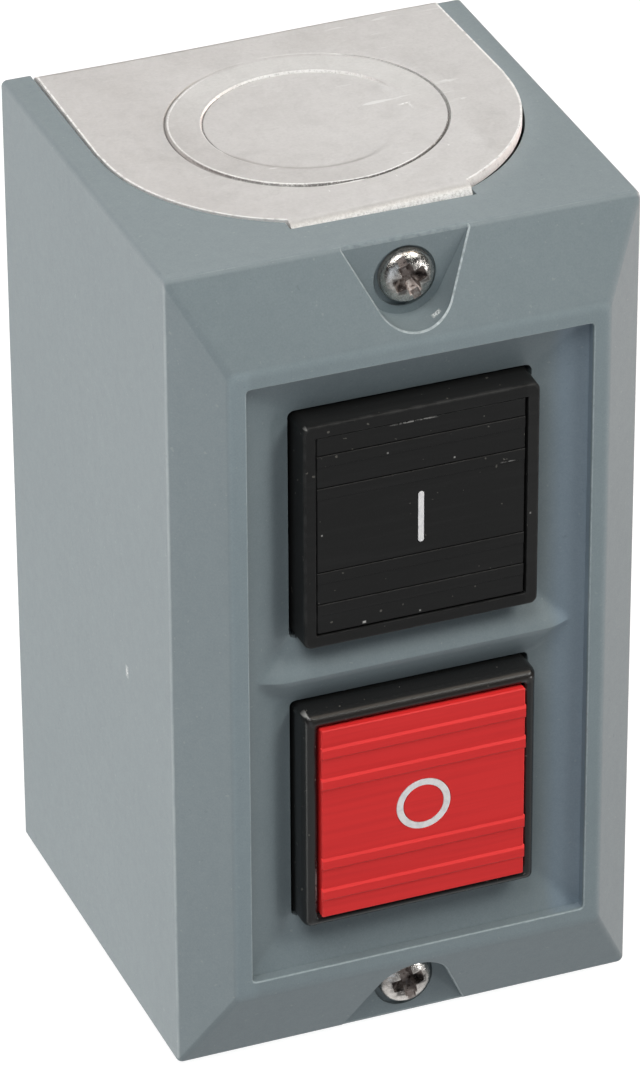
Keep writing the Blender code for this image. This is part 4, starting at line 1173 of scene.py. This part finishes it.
def legend(mid_z, face, rib, mark):
    """A legend plate with four ribs across it and a groove for its white mark."""
    half_x, half_z, edge = 12.6, 12.7, 0.12
    body = rect_loft([(y, half_x - inset, half_z - inset, 0.20) for y, inset in
                      ((LEGEND_BACK, 0.0), (face + edge, 0.0), (face, edge))], 3, mid_z)
    for off in (5.45, 9.6):
        for sign in (1, -1):
            rib_z = mid_z + sign * off
            if mark == "bar":
                foot, top, reach = 0.72, 0.66, half_x - 0.02
                cut(body, box(-14.0, 14.0, face - 1.0, face + 0.20, rib_z + foot,
                              rib_z + foot + 0.13))
            else:
                foot, top, reach = 0.84, 0.52, half_x + 0.10
            # front of the rib, its half height, and how far its ends draw in
            levels = ((face + 0.3, foot, 0.0), (face + 0.02, foot, 0.0), (face - rib, top, rib))
            join(body, hull([(side * (reach - inset * 0.5), y, rib_z + up * half)
                             for side in (1, -1) for up in (1, -1) for y, half, inset in levels]))
    if mark == "bar":
        groove = prism(stadium(0.42, 3.35, mid_z), "Y", face - 1.0, face + 0.25)
    else:
        groove = annulus(mid_z, 2.44, 3.42, face - 1.0, face + 0.25)
    cut(body, groove)
    return soften(body, 0.05, segments=2, degrees=28.0)


START_FACE, STOP_FACE = RIM_Y - 0.2, RIM_Y - 1.05
FILL_FRONT, FILL_BACK = 0.015, 0.245       # the white fills, behind the face
# the black plate sits a little to the upper left in its frame
SEATED = Matrix.Translation((-0.10, 0.0, 0.07))
piece = legend(BUTTON_Z, START_FACE, rib=0.07, mark="bar")
piece.data.transform(SEATED)
settle(piece, "start_legend", "start_button", BLACK, "start_legend_plate", 30)
settle(legend(-BUTTON_Z, STOP_FACE, rib=0.24, mark="ring"), "stop_legend", "stop_button",
       RED, "stop_legend_plate", 30)

piece = prism(stadium(0.35, 3.28, BUTTON_Z), "Y", START_FACE + FILL_FRONT, START_FACE + FILL_BACK)
piece.data.transform(SEATED)
settle(soften(piece, 0.05, segments=2, degrees=60.0), "start_mark_bar", "start_button",
       WHITE, None, 40)
piece = annulus(-BUTTON_Z, 2.51, 3.35, STOP_FACE + FILL_FRONT, STOP_FACE + FILL_BACK)
settle(soften(piece, 0.05, segments=2, degrees=60.0), "stop_mark_ring", "stop_button",
       WHITE, None, 40)

# ------------------------------------------------------------------ springs


def coil(mid_z, radius, wire, front, back, turns, per_turn=28, sides=10):
    """A spring along Y with closed end turns; wire is the wire's radius."""
    start, end = front + wire, back - wire
    closed, end_turn = 2.05 * wire, 0.8
    steps = int(turns * per_turn)
    loops = []
    for i in range(steps + 1):
        t = i / steps * turns
        if t < end_turn:
            y = start + closed * t
        elif t > turns - end_turn:
            y = end - closed * (turns - t)
        else:
            first, last = start + closed * end_turn, end - closed * end_turn
            y = first + (last - first) * (t - end_turn) / (turns - 2 * end_turn)
        angle = 2 * math.pi * t
        out = Vector((math.cos(angle), 0, math.sin(angle)))
        centre = Vector((0, y, mid_z)) + out * radius
        loops.append([centre + out * wire * math.cos(2 * math.pi * k / sides)
                      + Vector((0, 1, 0)) * wire * math.sin(2 * math.pi * k / sides)
                      for k in range(sides)])
    return loft(loops)


# piece, body, joint, share of its length left at full travel, whether its rear end is the one
# that stays, wire radius, turns
SPRINGS = (
    ("start_return_spring", "housing", "start_press", 0.51, True, 0.35, 5.5),
    ("stop_return_spring", "housing", "stop_press", 0.51, True, 0.35, 5.5),
    ("start_contact_spring", "start_button", "start_press", 0.785, False, 0.25, 4.0),
    ("stop_contact_spring", "housing", "stop_press", 0.733, True, 0.25, 6.0),
)
for name, body_name, joint, keep, rear, wire, turns in SPRINGS:
    low, high = box_mm(name)
    z = BUTTON_Z if name.startswith("start") else -BUTTON_Z
    piece = coil(z, (high.x - low.x) / 2 - wire, wire, low.y, high.y, turns)
    settle(piece, name.replace("_spring", "_coil"), body_name, WIRE, name, 60)
    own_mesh(piece)

# ------------------------------------------------------------------ rest of the CAD pieces

# part of a piece's name and its material; the first match counts
FINISH = {
    "terminal_screw": NICKEL, "block_screw": NICKEL, "clamp_plate": NICKEL, "cover_screw": NICKEL,
    "base_plate": STEEL, "button_cap": BLACK, "plunger": BLACK, "legend_plate": BLACK,
    "contact_block": PHENOLIC, "block_base": PHENOLIC, "fixed_contact": BRASS,
    "contact_bridge": BRASS, "spring": WIRE, "clip": WIRE, "retainer": FIBRE, "insulator": FIBRE,
    "earth_screw": GREEN,
}


def surface_group():
    """Joins the faceted solid's corners and shades it smooth up to 30 degrees."""
    group = bpy.data.node_groups.new("joined_surface", "GeometryNodeTree")
    for way in ("INPUT", "OUTPUT"):
        group.interface.new_socket("Geometry", in_out=way, socket_type="NodeSocketGeometry")
    nodes, links = group.nodes, group.links
    start, end = nodes.new("NodeGroupInput"), nodes.new("NodeGroupOutput")
    merge = nodes.new("GeometryNodeMergeByDistance")
    merge.inputs["Distance"].default_value = 1e-6
    smooth = nodes.new("GeometryNodeSetShadeSmooth")
    store = nodes.new("GeometryNodeStoreNamedAttribute")
    store.data_type, store.domain = "BOOLEAN", "EDGE"
    store.inputs["Name"].default_value = "sharp_edge"
    angle = nodes.new("GeometryNodeInputMeshEdgeAngle")
    compare = nodes.new("FunctionNodeCompare")
    compare.data_type, compare.operation = "FLOAT", "GREATER_THAN"
    compare.inputs[1].default_value = math.radians(30)
    links.new(start.outputs[0], merge.inputs["Geometry"])
    links.new(merge.outputs[0], smooth.inputs["Geometry"])
    links.new(smooth.outputs[0], store.inputs["Geometry"])
    links.new(angle.outputs[0], compare.inputs[0])
    links.new(compare.outputs[0], store.inputs["Value"])
    links.new(store.outputs[0], end.inputs[0])
    return group


joined = surface_group()
for name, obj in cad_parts.items():
    material = next((finish for key, finish in FINISH.items() if key in name), GREY)
    if not obj.data.materials:
        obj.data.materials.append(material)
    for i in range(len(obj.data.materials)):
        obj.data.materials[i] = material
    if obj.hide_render:
        continue
    obj.modifiers.new("joined_surface", "NODES").node_group = joined
    mod = obj.modifiers.new("flat_faces", "DECIMATE")
    mod.decimate_type = "DISSOLVE"
    mod.angle_limit = math.radians(0.4)
    mod = obj.modifiers.new("rounded_edges", "BEVEL")
    mod.width = 0.00012
    mod.segments = 2
    mod.limit_method = "ANGLE"
    mod.angle_limit = math.radians(35)
    mod.harden_normals = True

# ------------------------------------------------------------------ stage


def floor():
    """A pale glowing floor that only the camera sees."""
    half = 3.0
    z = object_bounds()[0].z - 0.0001
    shape = bmesh.new()
    shape.faces.new([shape.verts.new((x, y, z)) for x, y in
                     ((-half, -half), (half, -half), (half, half), (-half, half))])
    obj = new_object(shape, "floor")
    mat = Nodes("floor_pale")
    tone = mat.mix(mat.band(mat.noise(3.0), 0.3, 0.7), grey(0.20), grey(0.22))
    obj.data.materials.append(mat.out(
        Base_Color=tone, Roughness=0.9, Emission_Color=(1.0, 1.0, 1.0, 1.0),
        Emission_Strength=0.93, Specular_IOR_Level=0.0))
    obj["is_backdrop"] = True
    obj.visible_shadow = False
    obj.visible_diffuse = False
    obj.visible_glossy = False


def studio():
    """A white backdrop to the camera; otherwise light off the pale floor, none from above."""
    world = bpy.data.worlds.new("studio")
    world.use_nodes = True
    nodes, links = world.node_tree.nodes, world.node_tree.links
    direction = nodes.new("ShaderNodeSeparateXYZ")
    links.new(nodes.new("ShaderNodeTexCoord").outputs["Generated"], direction.inputs[0])
    below = nodes.new("ShaderNodeMapRange")
    for key, value in (("From Min", 0.0), ("From Max", -1.0), ("To Min", 0.0), ("To Max", 0.84)):
        below.inputs[key].default_value = value
    links.new(direction.outputs["Z"], below.inputs["Value"])
    seen = nodes.new("ShaderNodeMath")
    seen.operation = "MAXIMUM"
    links.new(nodes.new("ShaderNodeLightPath").outputs["Is Camera Ray"], seen.inputs[0])
    links.new(below.outputs[0], seen.inputs[1])
    links.new(seen.outputs[0], nodes["Background"].inputs["Strength"])
    nodes["Background"].inputs["Color"].default_value = (1.0, 1.0, 1.0, 1.0)
    scene.world = world


floor()
studio()

# ------------------------------------------------------------------ lights

# name, azimuth (0 in front, 90 on the right), elevation, size in metres, watts, colour
LAMPS = (
    ("light_left_low", -100, -20, 0.5, 2.5, (0.97, 1.0, 0.96)),
    ("light_left", -110, 0, 0.5, 4.15, (1.0, 0.865, 0.83)),
    ("light_left_rear", -125, 15, 0.5, 0.5, (1.0, 0.92, 0.88)),
    ("light_top_left", -40, 60, 0.5, 3.90, (0.935, 0.935, 0.925)),
    ("light_top_rear", 170, 50, 0.5, 1.8, (1.0, 1.0, 1.0)),
    ("light_front", -22, 0, 0.5, 0.47, (0.80, 0.90, 1.0)),
    ("light_key", 44, -5, 0.15, 0.65, (1.0, 1.0, 1.0)),
    ("light_key_high", 45, 42, 0.3, 1.9, (0.98, 1.0, 0.97)),
    ("light_right_high", 60, 60, 0.4, 0.9, (1.0, 0.86, 0.70)),
    ("light_right", 100, 5, 0.3, 6.5, (1.0, 0.79, 0.73)),
)
LAMP_DISTANCE = 0.8


def lamp(name, azimuth, elevation, size, power, colour):
    """A square soft light aimed at the object."""
    data = bpy.data.lights.new(name, "AREA")
    data.shape = "RECTANGLE"
    data.size = size
    data.size_y = size
    data.energy = power
    data.color = colour
    obj = bpy.data.objects.new(name, data)
    scene.collection.objects.link(obj)
    around, up = math.radians(azimuth), math.radians(elevation)
    way = Vector((math.sin(around) * math.cos(up), -math.cos(around) * math.cos(up), math.sin(up)))
    centre = Vector((0.0, -0.03, 0.0))
    location = centre + way * LAMP_DISTANCE
    obj.location = location
    obj.rotation_euler = (centre - location).to_track_quat("-Z", "Y").to_euler()


for row in LAMPS:
    lamp(*row)

# ------------------------------------------------------------------ camera

# the camera's own X, Y and Z axes, and its place
CAMERA_AXES = ((0.93007506, -0.36734404, -0.0043283), (0.19029252, 0.47165495, 0.86100544),
               (-0.31424375, -0.80162333, 0.50857733))
CAMERA_PLACE = (-0.2398038, -0.6383794, 0.3871562)

cam_data = bpy.data.cameras.new("camera")
cam = bpy.data.objects.new("camera", cam_data)
scene.collection.objects.link(cam)
cam_data.sensor_fit = "AUTO"
cam_data.sensor_width = 36.0
cam_data.lens = 217.26704
cam_data.clip_start, cam_data.clip_end = 0.05, 20.0
rotation = Matrix(CAMERA_AXES).transposed().to_4x4()
cam.matrix_world = Matrix.Translation(CAMERA_PLACE) @ rotation
scene.camera = cam
scene.view_settings.view_transform = "Standard"

low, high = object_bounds()
